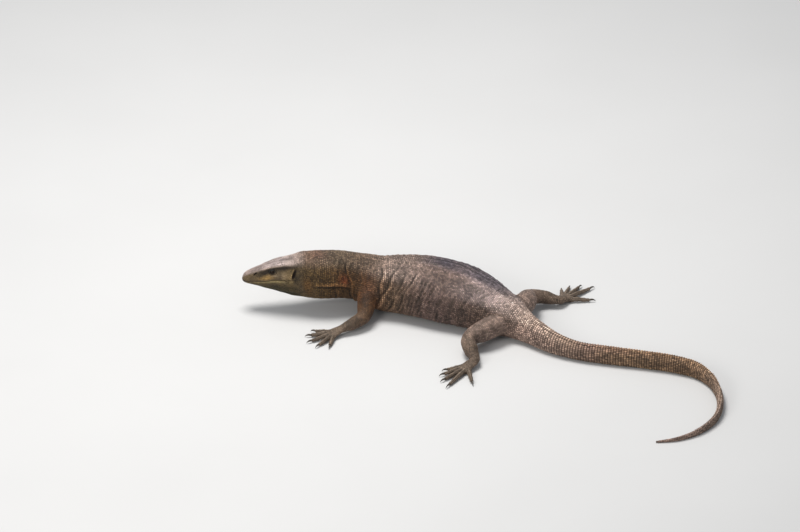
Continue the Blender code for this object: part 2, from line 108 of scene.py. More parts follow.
# Landmarks from the nape to the tip of the tail: x, y, full width, top, bottom, flatness of the back
BODY = [
    (-0.3205, 0.1437, 0.0563, 0.0945, 0.0265, 2.0),
    (-0.2990, 0.1440, 0.0656, 0.1015, 0.0240, 2.0),
    (-0.2710, 0.1441, 0.0735, 0.1035, 0.0214, 2.0),
    (-0.2290, 0.1510, 0.0768, 0.0983, 0.0185, 2.0),
    (-0.1960, 0.1540, 0.0876, 0.0892, 0.0080, 2.1),
    (-0.1630, 0.1520, 0.1044, 0.0832, -0.0008, 2.2),
    (-0.1180, 0.1486, 0.1255, 0.0829, -0.0012, 2.3),
    (-0.0550, 0.1294, 0.1375, 0.0779, -0.0012, 2.4),
    (0.0000, 0.0944, 0.1110, 0.0710, -0.0012, 2.3),
    (0.0380, 0.0671, 0.0790, 0.0608, -0.0010, 2.1),
    (0.0770, 0.0314, 0.0430, 0.0462, -0.0008, 2.0),
    (0.0950, 0.0134, 0.0363, 0.0423, -0.0007, 1.9),
    (0.1150, -0.0038, 0.0318, 0.0373, -0.0006, 1.8),
    (0.1525, -0.0252, 0.0248, 0.0313, -0.0006, 1.7),
    (0.2030, -0.0416, 0.0195, 0.0299, -0.0005, 1.7),
    (0.2690, -0.0573, 0.0170, 0.0290, -0.0005, 1.7),
    (0.3160, -0.0715, 0.0158, 0.0288, -0.0005, 1.7),
    (0.3500, -0.0890, 0.0150, 0.0272, -0.0005, 1.7),
    (0.3710, -0.1150, 0.0140, 0.0246, -0.0004, 1.7),
    (0.3830, -0.1490, 0.0123, 0.0207, -0.0004, 1.7),
    (0.3855, -0.1880, 0.0104, 0.0172, -0.0003, 1.7),
    (0.3740, -0.2350, 0.0082, 0.0136, -0.0003, 1.8),
    (0.3450, -0.2710, 0.0062, 0.0102, -0.0002, 1.9),
    (0.3105, -0.2900, 0.0042, 0.0068, -0.0002, 2.0),
    (0.2780, -0.2957, 0.0020, 0.0034, -0.0001, 2.0),
]

# The head by its distance from the snout: crown, half width of brow, half width of cheek, mouth, chin
HEAD = [
    (0.0000, 0.0577, 0.0016, 0.0026, 0.0528, 0.0511),
    (0.0022, 0.0618, 0.0036, 0.0048, 0.0529, 0.0495),
    (0.0070, 0.0664, 0.0058, 0.0080, 0.0531, 0.0474),
    (0.0134, 0.0701, 0.0072, 0.0104, 0.0535, 0.0460),
    (0.0269, 0.0760, 0.0092, 0.0141, 0.0553, 0.0428),
    (0.0403, 0.0817, 0.0117, 0.0172, 0.0582, 0.0386),
    (0.0521, 0.0863, 0.0138, 0.0196, 0.0615, 0.0352),
    (0.0672, 0.0902, 0.0161, 0.0228, 0.0634, 0.0305),
    (0.0874, 0.0943, 0.0203, 0.0265, 0.0640, 0.0245),
    (0.1025, 0.1005, 0.0240, 0.0310, 0.0640, 0.0235),
]

# Folds of loose skin: place along the body, lean, depth, width, first and last share of the way down
FOLDS = [
    (0.150, 0.010, 0.0008, 0.0045, 0.20, 0.75),
    (0.176, 0.023, 0.0016, 0.0042, 0.20, 0.85),
    (0.197, -0.008, 0.0009, 0.0045, 0.20, 0.60),
    (0.237, -0.008, 0.0018, 0.0045, 0.08, 0.60),
    (0.244, -0.065, 0.0021, 0.0045, 0.10, 0.62),
    (0.264, -0.070, 0.0010, 0.0040, 0.16, 0.60),
    (0.281, -0.085, 0.0013, 0.0042, 0.12, 0.60),
]
THROAT_CREASE = (0.113, 0.178, 0.52, 0.0015)

# Forms of the face: first and last distance from the snout, place down the side there, spread, height
FACE_FORMS = [
    (0.036, 0.066, 1.95, 2.00, 0.32, 0.0009),
    (0.040, 0.064, 2.50, 2.50, 0.20, -0.0005),
    (0.014, 0.038, 2.00, 2.00, 0.35, 0.0004),
    (0.028, 0.041, 3.70, 3.50, 0.80, -0.0006),
    (0.061, 0.074, 2.90, 3.00, 0.60, -0.0006),
    (0.067, 0.083, 4.60, 4.40, 1.10, 0.0010),
    (0.077, 0.090, 6.00, 5.20, 0.22, -0.0009),
    (0.003, 0.078, 5.52, 5.52, 0.26, 0.0004),
    (0.005, 0.076, 6.42, 6.42, 0.24, 0.0004),
    (0.000, 0.082, 6.00, 6.00, 0.13, -0.0007),
    (0.017, 0.028, 2.70, 2.60, 0.60, 0.0005),
    (0.030, 0.090, 0.00, 0.00, 0.40, -0.0003),
    (0.050, 0.096, 8.60, 8.20, 0.16, -0.0004),
    (0.058, 0.098, 7.70, 7.40, 0.14, -0.0004),
]

# Leg joints as out from the body's axis, forward along it and height, with half widths and half heights
ARM_SIZES = [(0.0190, 0.0190), (0.0165, 0.0170), (0.0118, 0.0120), (0.0105, 0.0100), (0.0072, 0.0064)]
LEG_SIZES = [(0.0140, 0.0150), (0.0190, 0.0180), (0.0132, 0.0130), (0.0118, 0.0110), (0.0078, 0.0070)]
PALM_SIZES = [(0.0095, 0.0060), (0.0112, 0.0052), (0.0070, 0.0036)]
LIMBS = {
    "front_left": (SHOULDER_AT, 1, [(0.020, -0.002, 0.044), (0.049, 0.003, 0.034), (0.079, 0.008, 0.020),
                                    (0.095, 0.026, 0.015), (0.106, 0.044, 0.011), (0.116, 0.062, 0.0055)]),
    "front_right": (SHOULDER_AT, -1, [(0.020, 0.000, 0.044), (0.050, -0.006, 0.034), (0.079, -0.010, 0.020),
                                      (0.092, 0.010, 0.015), (0.099, 0.028, 0.011), (0.104, 0.048, 0.0055)]),
    "hind_left": (HIP_AT, 1, [(0.006, 0.000, 0.027), (0.055, 0.010, 0.028), (0.094, 0.016, 0.021),
                              (0.111, -0.004, 0.016), (0.126, -0.024, 0.012), (0.150, -0.022, 0.0055)]),
    "hind_right": (HIP_AT, -1, [(0.006, 0.002, 0.027), (0.050, 0.020, 0.028), (0.083, 0.033, 0.021),
                                (0.103, 0.021, 0.016), (0.117, 0.002, 0.012), (0.140, 0.006, 0.0055)]),
}

# Toes from the inner to the outer one: spread in degrees, length, and the length of the claw
FRONT_TOES = [(-46, 0.024, 0.009), (-22, 0.032, 0.010), (1, 0.036, 0.010), (24, 0.034, 0.010),
              (52, 0.026, 0.009)]
HIND_TOES = [(-34, 0.026, 0.009), (-17, 0.036, 0.010), (-1, 0.046, 0.010), (15, 0.054, 0.011),
             (56, 0.034, 0.010)]
TOE_RADIUS = 0.0041
TOE_RINGS = 44
CLAW_RADIUS = 0.0021
TOE_LINE = [(0.0, 0.0048), (0.35, 0.0058), (0.70, 0.0044), (1.0, 0.0037)]
TOE_SIZES = [(1.02, 1.05), (0.90, 0.94), (0.76, 0.82), (0.62, 0.66)]
CLAW_LINE = [(-0.12, 0.0), (0.35, 0.0008), (0.70, 0.0000), (1.0, -0.0026)]
CLAW_SIZES = [(0.74, 0.94), (0.60, 0.82), (0.34, 0.50), (0.05, 0.07)]

# Colours along the body, linear: distance from the snout, then back, side and belly
TONES = [
    (0.000, (0.25, 0.188, 0.162), (0.135, 0.094, 0.050), (0.085, 0.068, 0.026)),
    # The belly's colours from 0.030 to 0.094, under the jaw, are darkened with painted shade
    (0.030, (0.29, 0.228, 0.207), (0.120, 0.082, 0.040), (0.046, 0.038, 0.011)),
    # The pale back at 0.060 and 0.080, on the crown, is partly its own colour and partly painted highlight
    (0.060, (0.41, 0.330, 0.310), (0.090, 0.062, 0.030), (0.036, 0.029, 0.008)),
    (0.080, (0.36, 0.285, 0.255), (0.092, 0.062, 0.028), (0.040, 0.031, 0.009)),
    (0.094, (0.29, 0.220, 0.185), (0.092, 0.061, 0.028), (0.050, 0.036, 0.012)),
    (0.112, (0.16, 0.104, 0.070), (0.090, 0.056, 0.022), (0.090, 0.056, 0.018)),
    (0.160, (0.116, 0.080, 0.051), (0.077, 0.041, 0.016), (0.110, 0.061, 0.019)),
    (0.205, (0.15, 0.100, 0.068), (0.088, 0.043, 0.020), (0.090, 0.056, 0.026)),
    (0.260, (0.18, 0.131, 0.108), (0.106, 0.067, 0.043), (0.130, 0.090, 0.055)),
    (0.350, (0.15, 0.103, 0.086), (0.112, 0.073, 0.060), (0.147, 0.110, 0.080)),
    # The pale back from 0.450 to 0.600, on the hips and the tail's base, is partly its own colour and partly
    # painted highlight
    (0.450, (0.31, 0.238, 0.216), (0.100, 0.065, 0.049), (0.160, 0.120, 0.090)),
    (0.530, (0.42, 0.305, 0.245), (0.260, 0.180, 0.145), (0.210, 0.160, 0.120)),
    (0.600, (0.32, 0.216, 0.158), (0.205, 0.137, 0.102), (0.190, 0.140, 0.100)),
    (0.640, (0.195, 0.120, 0.088), (0.148, 0.094, 0.066), (0.160, 0.115, 0.080)),
    (0.680, (0.20, 0.120, 0.078), (0.160, 0.100, 0.061), (0.150, 0.110, 0.070)),
    (0.800, (0.18, 0.111, 0.066), (0.142, 0.086, 0.050), (0.140, 0.100, 0.060)),
    (0.920, (0.27, 0.190, 0.146), (0.200, 0.140, 0.104), (0.160, 0.120, 0.090)),
    (1.093, (0.35, 0.240, 0.200), (0.260, 0.180, 0.145), (0.180, 0.140, 0.110)),
]

# Patches of colour: distance from the snout, place down the side, reach along and down, colour, strength
PATCHES = [
    (0.041, 4.45, 0.0110, 0.75, (0.48, 0.290, 0.095), 0.80),
    # Painted shadow of the canthus: the dark streak in front of the eye
    (0.040, 3.15, 0.0085, 0.45, (0.022, 0.013, 0.008), 0.95),
    # Painted shadow of the brow ridge: the dark band under it, over the eye and back to the ear
    (0.047, 2.50, 0.0190, 0.50, (0.016, 0.010, 0.006), 1.00),
    (0.074, 2.46, 0.0190, 0.54, (0.018, 0.011, 0.006), 1.00),
    (0.0515, 3.80, 0.0060, 0.22, (0.030, 0.018, 0.010), 0.70),
    (0.0560, 4.20, 0.0050, 0.20, (0.34, 0.250, 0.150), 0.85),
    (0.064, 4.40, 0.0120, 0.90, (0.145, 0.106, 0.066), 0.55),
    (0.030, 5.60, 0.0300, 0.30, (0.20, 0.150, 0.090), 0.70),
    (0.040, 5.80, 0.0340, 0.15, (0.030, 0.020, 0.010), 0.80),
    (0.042, 6.55, 0.0270, 0.42, (0.42, 0.330, 0.150), 0.90),
    (0.165, 4.25, 0.0090, 0.75, (0.17, 0.046, 0.018), 0.80),
    (0.150, 4.90, 0.0220, 0.22, (0.22, 0.110, 0.045), 0.60),
    (0.110, 5.20, 0.0070, 1.20, (0.19, 0.090, 0.028), 0.60),
    (0.125, 0.50, 0.0150, 0.80, (0.16, 0.078, 0.055), 0.55),
    (0.213, 5.40, 0.0120, 2.20, (0.13, 0.050, 0.020), 0.60),
]

# Where the back's colour gives way to the side's: place down the side by distance from the snout
BACK_EDGE = [(0.0, 2.3), (0.03, 1.9), (0.05, 1.75), (0.09, 1.9), (0.12, 2.4)]

# Colours of the legs, by share of the way from root to toes
FRONT_TONES = [(0.0, (0.088, 0.032, 0.010)), (0.35, (0.100, 0.048, 0.021)), (0.7, (0.13, 0.090, 0.062)),
               (1.0, (0.15, 0.112, 0.082))]
HIND_TONES = [(0.0, (0.26, 0.185, 0.148)), (0.4, (0.21, 0.148, 0.118)), (0.7, (0.14, 0.098, 0.070)),
              (1.0, (0.15, 0.112, 0.082))]

# Other colours: a painted dark blue-grey sheen on the flank beyond the spine, with its strength, the painted
# shade of the inside of openings, and the colour of claws
FAR_PAINTED_SHEEN = ((0.078, 0.067, 0.084), 0.85)
INSIDE_PAINTED_SHADE = (0.045, 0.028, 0.020)
CLAW_TONE = (0.045, 0.036, 0.028)

# The eye: its colours, and how far from its middle they lie, in radians
IRIS_TONE = (0.017, 0.008, 0.0035)
IRIS_RING_TONE = (0.11, 0.055, 0.016)
IRIS_RING = (0.272, 0.020)
PUPIL_TONE = 0.002
PUPIL_EDGE = (0.235, 0.255)
EYE_RIM_TONE = (0.020, 0.013, 0.010)
EYE_RIM = (0.62, 0.74)

# Surfaces: roughness, grains in a metre, their depth, spread of the colour, and specular level
LOOKS = {
    "hide": (0.62, 1300.0, 0.00016, 0.18, 0.25),
    "scale": (0.52, 2600.0, 0.00006, 0.10, 0.32),
    "head_scale": (0.46, 2600.0, 0.00005, 0.08, 0.34),
    "eye": (0.12, 2600.0, 0.0, 0.05, 0.18),
    "claw": (0.32, 1800.0, 0.00003, 0.12, 0.50),
}

# Scales: how far their rims lie under the skin, how sharp their corners are, how much of the room between
# their neighbours they fill, how many neighbours count, how far the skin has to face outward under them,
# how near to older ones they may grow, half their size on the unwrap, and how high they stand
RIM_SUNK = 0.00010
CORNERS = 9.0
FILL = 1.05
NEAREST = 12
FACING = 0.0
APART = 0.72
PATCH_HALF = 0.0014
HEIGHTS = {"brow": 0.00032, "lip": 0.00032, "lid": 0.00018, "head": 0.00034, "body": 0.00048,
           "tail": 0.00042, "crest": 0.00070, "leg": 0.00036, "toe": 0.00026}
COAT_PATCH = (0.02, 0.02, 0.98, 0.98)

# Rows of scales on the body: distance from the snout, pitch and spacing there
PEBBLES = [
    (0.10, 0.0020, 0.0023),
    (0.14, 0.0026, 0.0031),
    (0.25, 0.0029, 0.0034),
    (0.50, 0.0029, 0.0034),
    (0.58, 0.0034, 0.0034),
]
BODY_COATS = [("neck_scales", HEAD_END, 0.205), ("front_scales", 0.205, 0.315),
              ("middle_scales", 0.315, 0.425), ("rear_scales", 0.425, RINGS_FROM)]
RING_PITCH = [(0.53, 0.0036), (0.58, 0.0044), (0.64, 0.0045), (0.80, 0.0041), (1.0, 0.0034), (1.09, 0.0026)]
RING_SPACING = [(0.53, 0.0032), (0.70, 0.0027), (0.85, 0.0025), (1.09, 0.0016)]

# Scales of the head: the lips' rows by how far they lie below the mouth, the brow's, and the lids' beads
LIP_PITCH = 0.0022
LIP_BAND = (-0.0040, 0.0023)
LIP_ROWS = [(-0.0030, 0.0017, 0.0041), (-0.0014, 0.0018, 0.0030), (0.00135, 0.0017, 0.0030)]
LIP_FENCE = (-0.0002, 0.0)
FENCE_STEP = 0.0009
SNOUT_TIP = 0.003
BROW_ROW = (0.0395, 0.0665, 0.0021)
BROW_TURN = 1.25
BROW_WIDE = 0.0046
LID_BEADS = [(1.22, 26), (1.52, 28), (1.86, 30)]

# Scales of the legs and toes: places round a toe in columns from its top, with their widths
LEG_PITCH = 0.0025
LEG_SPACING = 0.0027
LEG_THINNER = 0.0008
TOE_PITCH = 0.0017
TOE_PLACES = [(0.0, 6.4), (4.7, 2.9), (7.4, 2.7), (10.2, 2.9), (-4.7, 2.9), (-7.4, 2.7), (-10.2, 2.9)]

# The camera, as the photograph's: its own size of a pixel at the animal, its lens and its height.
# With it the floor and the light.
PHOTO_WIDTH = 800
PIXEL = 0.00168
LENS = 400.0
SENSOR = 36.0
CAMERA_RISE = math.radians(30)
AIM = (-0.13776, 0.27888, 0.0)
FLOOR_HALF = 9
FLOOR_SUNK = 0.0002
FLOOR_TONES = (0.60, 0.64)
SKY_TONE = (0.93, 0.96, 1.0, 1)
SKY_STRENGTH = 0.42
LIGHTS = [("key", (-0.5, 0.5, 2.2), 52, 1.0, (1.0, 0.98, 0.95)),
          ("fill", (-1.2, -1.7, 1.2), 16, 0.8, (1.0, 0.97, 0.93))]


def smooth(xs, ys, x, monotone=True):
    """Reads a table of values ys at xs as a smooth curve at x. A monotone one never overshoots."""
    xs, ys, x = (np.asarray(a, float) for a in (xs, ys, x))
    ys = ys.reshape(len(xs), -1)
    step = np.diff(xs)[:, None]
    slope = np.diff(ys, axis=0) / step
    inner = (slope[1:] * step[:-1] + slope[:-1] * step[1:]) / (step[1:] + step[:-1])
    if monotone:
        same = slope[1:] * slope[:-1] > 0
        steep = 2.0 * np.minimum(abs(slope[1:]), abs(slope[:-1]))
        inner = np.where(same, np.clip(inner, -steep, steep), 0.0)
    ends = np.concatenate([slope[:1], inner, slope[-1:]])
    i = np.clip(np.searchsorted(xs, x) - 1, 0, len(xs) - 2)
    h = step[i]
    t = ((x - xs[i])[:, None]) / h
    return (
        ys[i] * (1 + 2 * t) * (1 - t) ** 2
        + h * ends[i] * t * (1 - t) ** 2
        + ys[i + 1] * t * t * (3 - 2 * t)
        + h * ends[i + 1] * t * t * (t - 1)
    )


def table_at(table, x, column=1):
    """Reads a column of a table by its first one, in straight lines between the rows."""
    rows = np.array(table)
    return np.interp(x, rows[:, 0], rows[:, column])


def ramp(x, low, high):
    """0 below low, 1 above high and smooth between."""
    t = np.clip((x - low) / (high - low), 0.0, 1.0)
    return t * t * (3 - 2 * t)


def window(x, first, last, edge):
    """1 between first and last, and 0 outside, with edges this wide."""
    return ramp(x, first - edge / 2, first + edge / 2) * (1 - ramp(x, last - edge / 2, last + edge / 2))


def bell(x, middle, spread):
    """1 at the middle, falling off smoothly to both sides."""
    return np.exp(-(((x - middle) / spread) ** 2))


def blend(one, other, share):
    """One colour, shape or value turned into another by this share."""
    return one * (1 - share) + other * share


def noise(points, size, seed=0):
    """Smooth noise from -1 to 1 with lumps of this size, the same on every run."""
    p = np.asarray(points, float) / size
    cell = np.floor(p).astype(np.int64)
    part = p - cell
    part = part * part * (3 - 2 * part)
    total = np.zeros(p.shape[:-1])
    for corner in np.ndindex(2, 2, 2):
        mixed = ((cell + corner) * (374761393, 668265263, 1274126177)).sum(axis=-1) + seed * 977
        mixed = (mixed ^ (mixed >> 13)) * 1103515245 & 0x7FFFFFFF
        value = ((mixed ^ (mixed >> 15)) & 0xFFFF) / 32767.5 - 1
        total += value * np.prod(np.where(corner, part, 1 - part), axis=-1)
    return total


def unit(v):
    return v / (np.linalg.norm(v, axis=-1, keepdims=True) + 1e-12)


BODY_ROWS = np.array(BODY)
HEAD_ROWS = np.array(HEAD)
ROUTE = np.vstack([[SNOUT_X, HEAD_Y], [(SNOUT_X + BODY_ROWS[0, 0]) / 2, HEAD_Y], BODY_ROWS[:, :2]])
ROUTE_AT = np.concatenate([[0.0], np.cumsum(np.hypot(*np.diff(ROUTE, axis=0).T))])
BODY_LENGTH = ROUTE_AT[-1]
KEY_ANGLES = np.radians(np.arange(0, 181, 18))


def side_places():
    """Places from the back, 0, to the belly, 10, closer together at the mouth, the eye and the crest."""
    t = np.linspace(0, 10, 2001)
    crowd = 1 + 1.5 * bell(t, 6, 0.5) + 0.7 * bell(t, 3, 1.1)
    crowd += 1.0 * np.exp(-((t / 0.9) ** 2))
    count = np.concatenate([[0.0], np.cumsum((crowd[1:] + crowd[:-1]) / 2)])
    return np.interp(np.linspace(0, count[-1], SIDE_POINTS + 1), count, t)


HALF_TURN = side_places()
TURN = np.concatenate([HALF_TURN, -HALF_TURN[-2:0:-1]])


def axis_at(s):
    """The plan point of the body's axis at the distances s from the snout, and the way to the left there."""
    s = np.atleast_1d(s)
    point = smooth(ROUTE_AT, ROUTE, s, monotone=False)
    nudge = 0.002
    back = unit(smooth(ROUTE_AT, ROUTE, s + nudge, False) - smooth(ROUTE_AT, ROUTE, s - nudge, False))
    return point, np.stack([back[:, 1], -back[:, 0]], axis=1)


def trunk_keys(s):
    """Half sections of neck, torso and tail at s, as (out, height) keys from the back to the belly."""
    width, top, bottom, flat = smooth(ROUTE_AT[2:], BODY_ROWS[:, 2:], s).T[:, :, None]
    trunk = ramp(s, 0.20, 0.30) * (1 - ramp(s, 0.50, 0.60))
    middle = bottom + (top - bottom) * (0.47 - 0.06 * trunk)[:, None]
    c, d = np.cos(KEY_ANGLES), np.sin(KEY_ANGLES)
    out = width / 2 * np.abs(d) ** (2 / np.maximum(flat, 2.0))
    above = (top - middle) * np.abs(c) ** (2 / flat)
    below = (bottom - middle) * np.abs(c) ** (2 / 2.4)
    return np.stack([out, middle + np.where(c > 0, above, below)], axis=2)


def head_keys(s):
    """Half sections of the head at s, with a flat crown, sloping cheeks, the lips and a full throat."""
    crown, brow, cheek, mouth, chin = smooth(HEAD_ROWS[:, 0], HEAD_ROWS[:, 1:], s).T
    side, depth = crown - mouth, mouth - chin
    out = [0 * brow, 0.62 * brow, brow, brow + 0.42 * (cheek - brow), brow + 0.88 * (cheek - brow),
           cheek, 0.99 * cheek, 0.97 * cheek, 0.80 * cheek, 0.46 * cheek, 0 * brow]
    height = [crown, crown - 0.02 * side, crown - 0.13 * side, crown - 0.34 * side, crown - 0.62 * side,
              mouth + 0.12 * side, mouth, mouth - 0.18 * depth, mouth - 0.62 * depth,
              chin + 0.09 * depth, chin]
    return np.stack([np.stack(out, axis=1), np.stack(height, axis=1)], axis=2)


def half_sections(s, places):
    """Smooth half sections at the distances s, with points at these places along the eleven keys."""
    head = head_keys(np.clip(s, 0, HEAD_ROWS[-1, 0]))
    trunk = trunk_keys(np.clip(s, ROUTE_AT[2], BODY_LENGTH))
    share = ramp(s, 0.083, 0.113)[:, None, None]
    keys = blend(head, trunk, share)
    keys = np.concatenate([keys[:, 1:2] * (-1, 1), keys, keys[:, -2:-1] * (-1, 1)], axis=1)
    table = keys.transpose(1, 0, 2).reshape(13, -1)
    points = smooth(np.arange(-1.0, 12.0), table, places, monotone=False).reshape(len(places), len(s), 2)
    return points.transpose(1, 0, 2)


def relief(s, turn, place):
    """How far folds, creases, wrinkles, ribs and the crest raise the surface at s and this turn round it."""
    share = abs(turn) / 10
    raised = np.zeros(np.broadcast(s, share).shape)
    for at, lean, depth, width, first, last in FOLDS:
        bend = 0.0016 * np.sin(share * 21 + at * 400)
        off = (s + bend - at - lean * (share - 0.4)) / (width * FOLD_SHARPNESS)
        reach = ramp(share, first - 0.06, first + 0.10) * (1 - ramp(share, last - 0.05, last + 0.10))
        raised += depth * reach * (np.exp(-off**2) - VALLEY * np.exp(-((off + 1.6) ** 2)))
    raised *= np.where(turn < 0, FAR_FOLDS, 1.0)
    first, last, level, depth = THROAT_CREASE
    reach = ramp(s, first, first + 0.02) * (1 - ramp(s, last - 0.01, last))
    raised -= depth * reach * bell(share, level, 0.014)
    raised += 0.5 * depth * reach * np.exp(-(((share - level + 0.028) / 0.016) ** 2))
    size = CREST_HEIGHT * ramp(s, 0.59, 0.68) * (1 - 0.8 * ramp(s, 0.88, 1.09))
    raised += size * bell(share, CREST_SHARE, 0.035)
    return raised + wrinkles(s, turn, share, place)


def wrinkles(s, turn, share, place):
    """Fine folds: across the flanks, along the far side of the spine and round the neck, and the spine."""
    drift = noise(place, 0.035, 1) * 0.0035 + noise(place, 0.014, 2) * 0.0008
    flank = window(s, 0.235, 0.475, 0.05) * window(share, 0.16, 0.80, 0.16)
    strong = np.clip(0.70 + 1.4 * noise(place, 0.030, 3), 0.15, 1.3) * (1 - 0.45 * ramp(s, 0.34, 0.46))
    ridge = np.exp(2.4 * (np.cos((s + drift + 0.060 * share) * 2 * math.pi / FLANK_FOLDS[0]) - 1)) - 0.25
    raised = FLANK_FOLDS[1] * flank * strong * ridge
    ribs = window(s, 0.250, 0.430, 0.05) * window(share, 0.20, 0.75, 0.20)
    raised += RIBS[1] * ribs * np.sin((s + drift * 0.5) * 2 * math.pi / RIBS[0])
    far = window(s, 0.270, 0.430, 0.06) * window(share, 0.08, 0.30, 0.10) * (turn < 0)
    raised += FAR_LINES[1] * far * np.sin((share * 0.165 + drift * 0.8) * 2 * math.pi / FAR_LINES[0])
    neck = window(s, 0.112, 0.230, 0.03) * window(share, 0.12, 0.92, 0.14)
    raised += NECK_FOLDS[1] * neck * np.sin((s + drift * 1.8 + 0.020 * share) * 2 * math.pi / NECK_FOLDS[0])
    spine = window(s, 0.190, 0.560, 0.06) * np.exp(-((share / 0.022) ** 2))
    raised += SPINE_HEIGHT * spine
    thin = 1 - 0.85 * ramp(s, 0.60, 0.90)
    return raised + (0.00022 * noise(place, 0.0090, 4) + 0.00030 * noise(place, 0.024, 5)) * thin


def face_relief(s, turn):
    """How far the forms of the face raise the skin, before the lids."""
    t = abs(turn)
    raised = np.zeros(np.broadcast(s, t).shape)
    for first, last, level, last_level, spread, height in FACE_FORMS:
        share = np.clip((s - first) / (last - first), 0, 1)
        off = (t - level - (last_level - level) * share) / spread
        raised += height * window(s, first, last, 0.006) * np.exp(-off**2)
    return raised


class Tube:
    """A closed surface through rings of points, with its place on the unwrap."""

    def __init__(self, rings, along, patch, lift=None):
        self.rings = rings
        self.lift = np.zeros(rings.shape[:2]) if lift is None else lift
        self.along = np.asarray(along, float)
        self.patch = patch
        closed = np.concatenate([rings, rings[:, :1]], axis=1)
        steps = np.linalg.norm(np.diff(closed, axis=1), axis=2)
        self.arcs = np.concatenate([np.zeros((len(rings), 1)), np.cumsum(steps, axis=1)], axis=1)

    def at(self, s, column, values=None):
        """Points, or the values given, at the distances s along and at fractional columns round."""
        values = self.rings if values is None else values[:, :, None]
        row = np.clip(np.interp(s, self.along, np.arange(len(self.along))), 0, len(self.along) - 1.001)
        i, j = row.astype(int), np.floor(column).astype(int)
        u, v = (row - i)[:, None], (column - j)[:, None]
        count = self.rings.shape[1]
        j, k = j % count, (j + 1) % count
        near = blend(values[i, j], values[i, k], v)
        far = blend(values[i + 1, j], values[i + 1, k], v)
        return blend(near, far, u)

    def arcs_at(self, s):
        """Distances round the ring that is nearest to s, at its columns."""
        return self.arcs[int(np.argmin(abs(self.along - s)))]

    def nearest(self, points):
        """Distances along and fractional columns of the places nearest to these points."""
        flat = self.rings.reshape(-1, 3)
        found = [int(np.argmin(((flat - point) ** 2).sum(axis=1))) for point in points]
        row, column = np.divmod(found, self.rings.shape[1])
        row = np.clip(row, 1, len(self.rings) - 2)
        count = self.rings.shape[1]
        off = points - self.rings[row, column]
        ahead = self.rings[row + 1, column] - self.rings[row - 1, column]
        aside = self.rings[row, (column + 1) % count] - self.rings[row, column - 1]
        u = (off * ahead).sum(axis=1) / (ahead**2).sum(axis=1)
        v = (off * aside).sum(axis=1) / (aside**2).sum(axis=1)
        return self.along[row] + u * (self.along[row + 1] - self.along[row - 1]), column + 2 * v

    def unwrap(self, s, column, patch=None):
        """Places on the unwrap for distances along and columns round."""
        u0, v0, u1, v1 = patch or self.patch
        share = (s - self.along[0]) / (self.along[-1] - self.along[0])
        return np.stack([u0 + (u1 - u0) * column / self.rings.shape[1], v0 + (v1 - v0) * share], axis=-1)

    def normals(self):
        along = np.gradient(self.rings, axis=0)
        around = np.roll(self.rings, -1, axis=1) - np.roll(self.rings, 1, axis=1)
        made = unit(np.cross(around, along))
        outward = self.rings - self.rings.mean(axis=1, keepdims=True)
        return made * np.sign((made * outward).sum())

    def mesh_parts(self):
        """Points, polygons and corner places on the unwrap, with both ends closed by a fan."""
        rows, count = self.rings.shape[:2]
        points = np.concatenate([self.rings.reshape(-1, 3), self.rings[[0, -1]].mean(axis=1)])
        i, j = np.meshgrid(np.arange(rows - 1), np.arange(count), indexing="ij")
        a, b = i * count + j, i * count + (j + 1) % count
        quads = np.stack([a, b, b + count, a + count], axis=-1).reshape(-1, 4)
        s = self.along
        corners = [(s[i], j), (s[i], j + 1), (s[i + 1], j + 1), (s[i + 1], j)]
        quad_uv = np.stack([self.unwrap(x, y) for x, y in corners], axis=2).reshape(-1, 4, 2)
        ring = np.arange(count)
        head = np.stack([np.full(count, rows * count), (ring + 1) % count, ring], axis=1)
        last = (rows - 1) * count
        tail = np.stack([np.full(count, rows * count + 1), last + ring, last + (ring + 1) % count], axis=1)
        ends = []
        for place, order in ((s[0], (0.5, 1, 0)), (s[-1], (0.5, 0, 1))):
            places = [self.unwrap(np.full(count, place), ring + part) for part in order]
            ends.append(np.stack(places, axis=1))
        p0, p1, p2, p3 = (points[quads] - points.mean(axis=0)).transpose(1, 0, 2)
        volume = (p0 * (np.cross(p1, p2) + np.cross(p2, p3))).sum()
        faces, uvs = [quads, head, tail], [quad_uv, *ends]
        if volume < 0:
            faces = [f[:, ::-1] for f in faces]
            uvs = [u[:, ::-1] for u in uvs]
        return points, faces, uvs


def add_mesh(name, points, faces, uvs=None, tones=None):
    """A mesh object from points and arrays of polygons, each array with polygons of one size."""
    mesh = bpy.data.meshes.new(name)
    sizes = np.concatenate([np.full(len(f), f.shape[1]) for f in faces])
    corners = np.concatenate([f.ravel() for f in faces]).astype(np.int32)
    mesh.vertices.add(len(points))
    mesh.vertices.foreach_set("co", np.asarray(points, np.float32).ravel())
    mesh.loops.add(len(corners))
    mesh.loops.foreach_set("vertex_index", corners)
    mesh.polygons.add(len(sizes))
    mesh.polygons.foreach_set("loop_start", np.concatenate([[0], np.cumsum(sizes)[:-1]]).astype(np.int32))
    mesh.update(calc_edges=True)
    if uvs is not None:
        layer = mesh.uv_layers.new(name="OFBake")
        places = np.concatenate([u.reshape(-1, 2) for u in uvs]).astype(np.float32)
        layer.uv.foreach_set("vector", places.ravel())
    if tones is not None:
        paint(mesh, tones)
    mesh.shade_smooth()
    obj = bpy.data.objects.new(name, mesh)
    bpy.context.scene.collection.objects.link(obj)
    return obj


def paint(mesh, tones):
    """Stores a colour for each point of the mesh."""
    layer = mesh.color_attributes.new("tone", "FLOAT_COLOR", "POINT")
    colours = np.concatenate([np.clip(tones, 0, 1), np.ones((len(tones), 1))], axis=1)
    layer.data.foreach_set("color", colours.astype(np.float32).ravel())


def tube_object(name, tube):
    return add_mesh(name, *tube.mesh_parts())


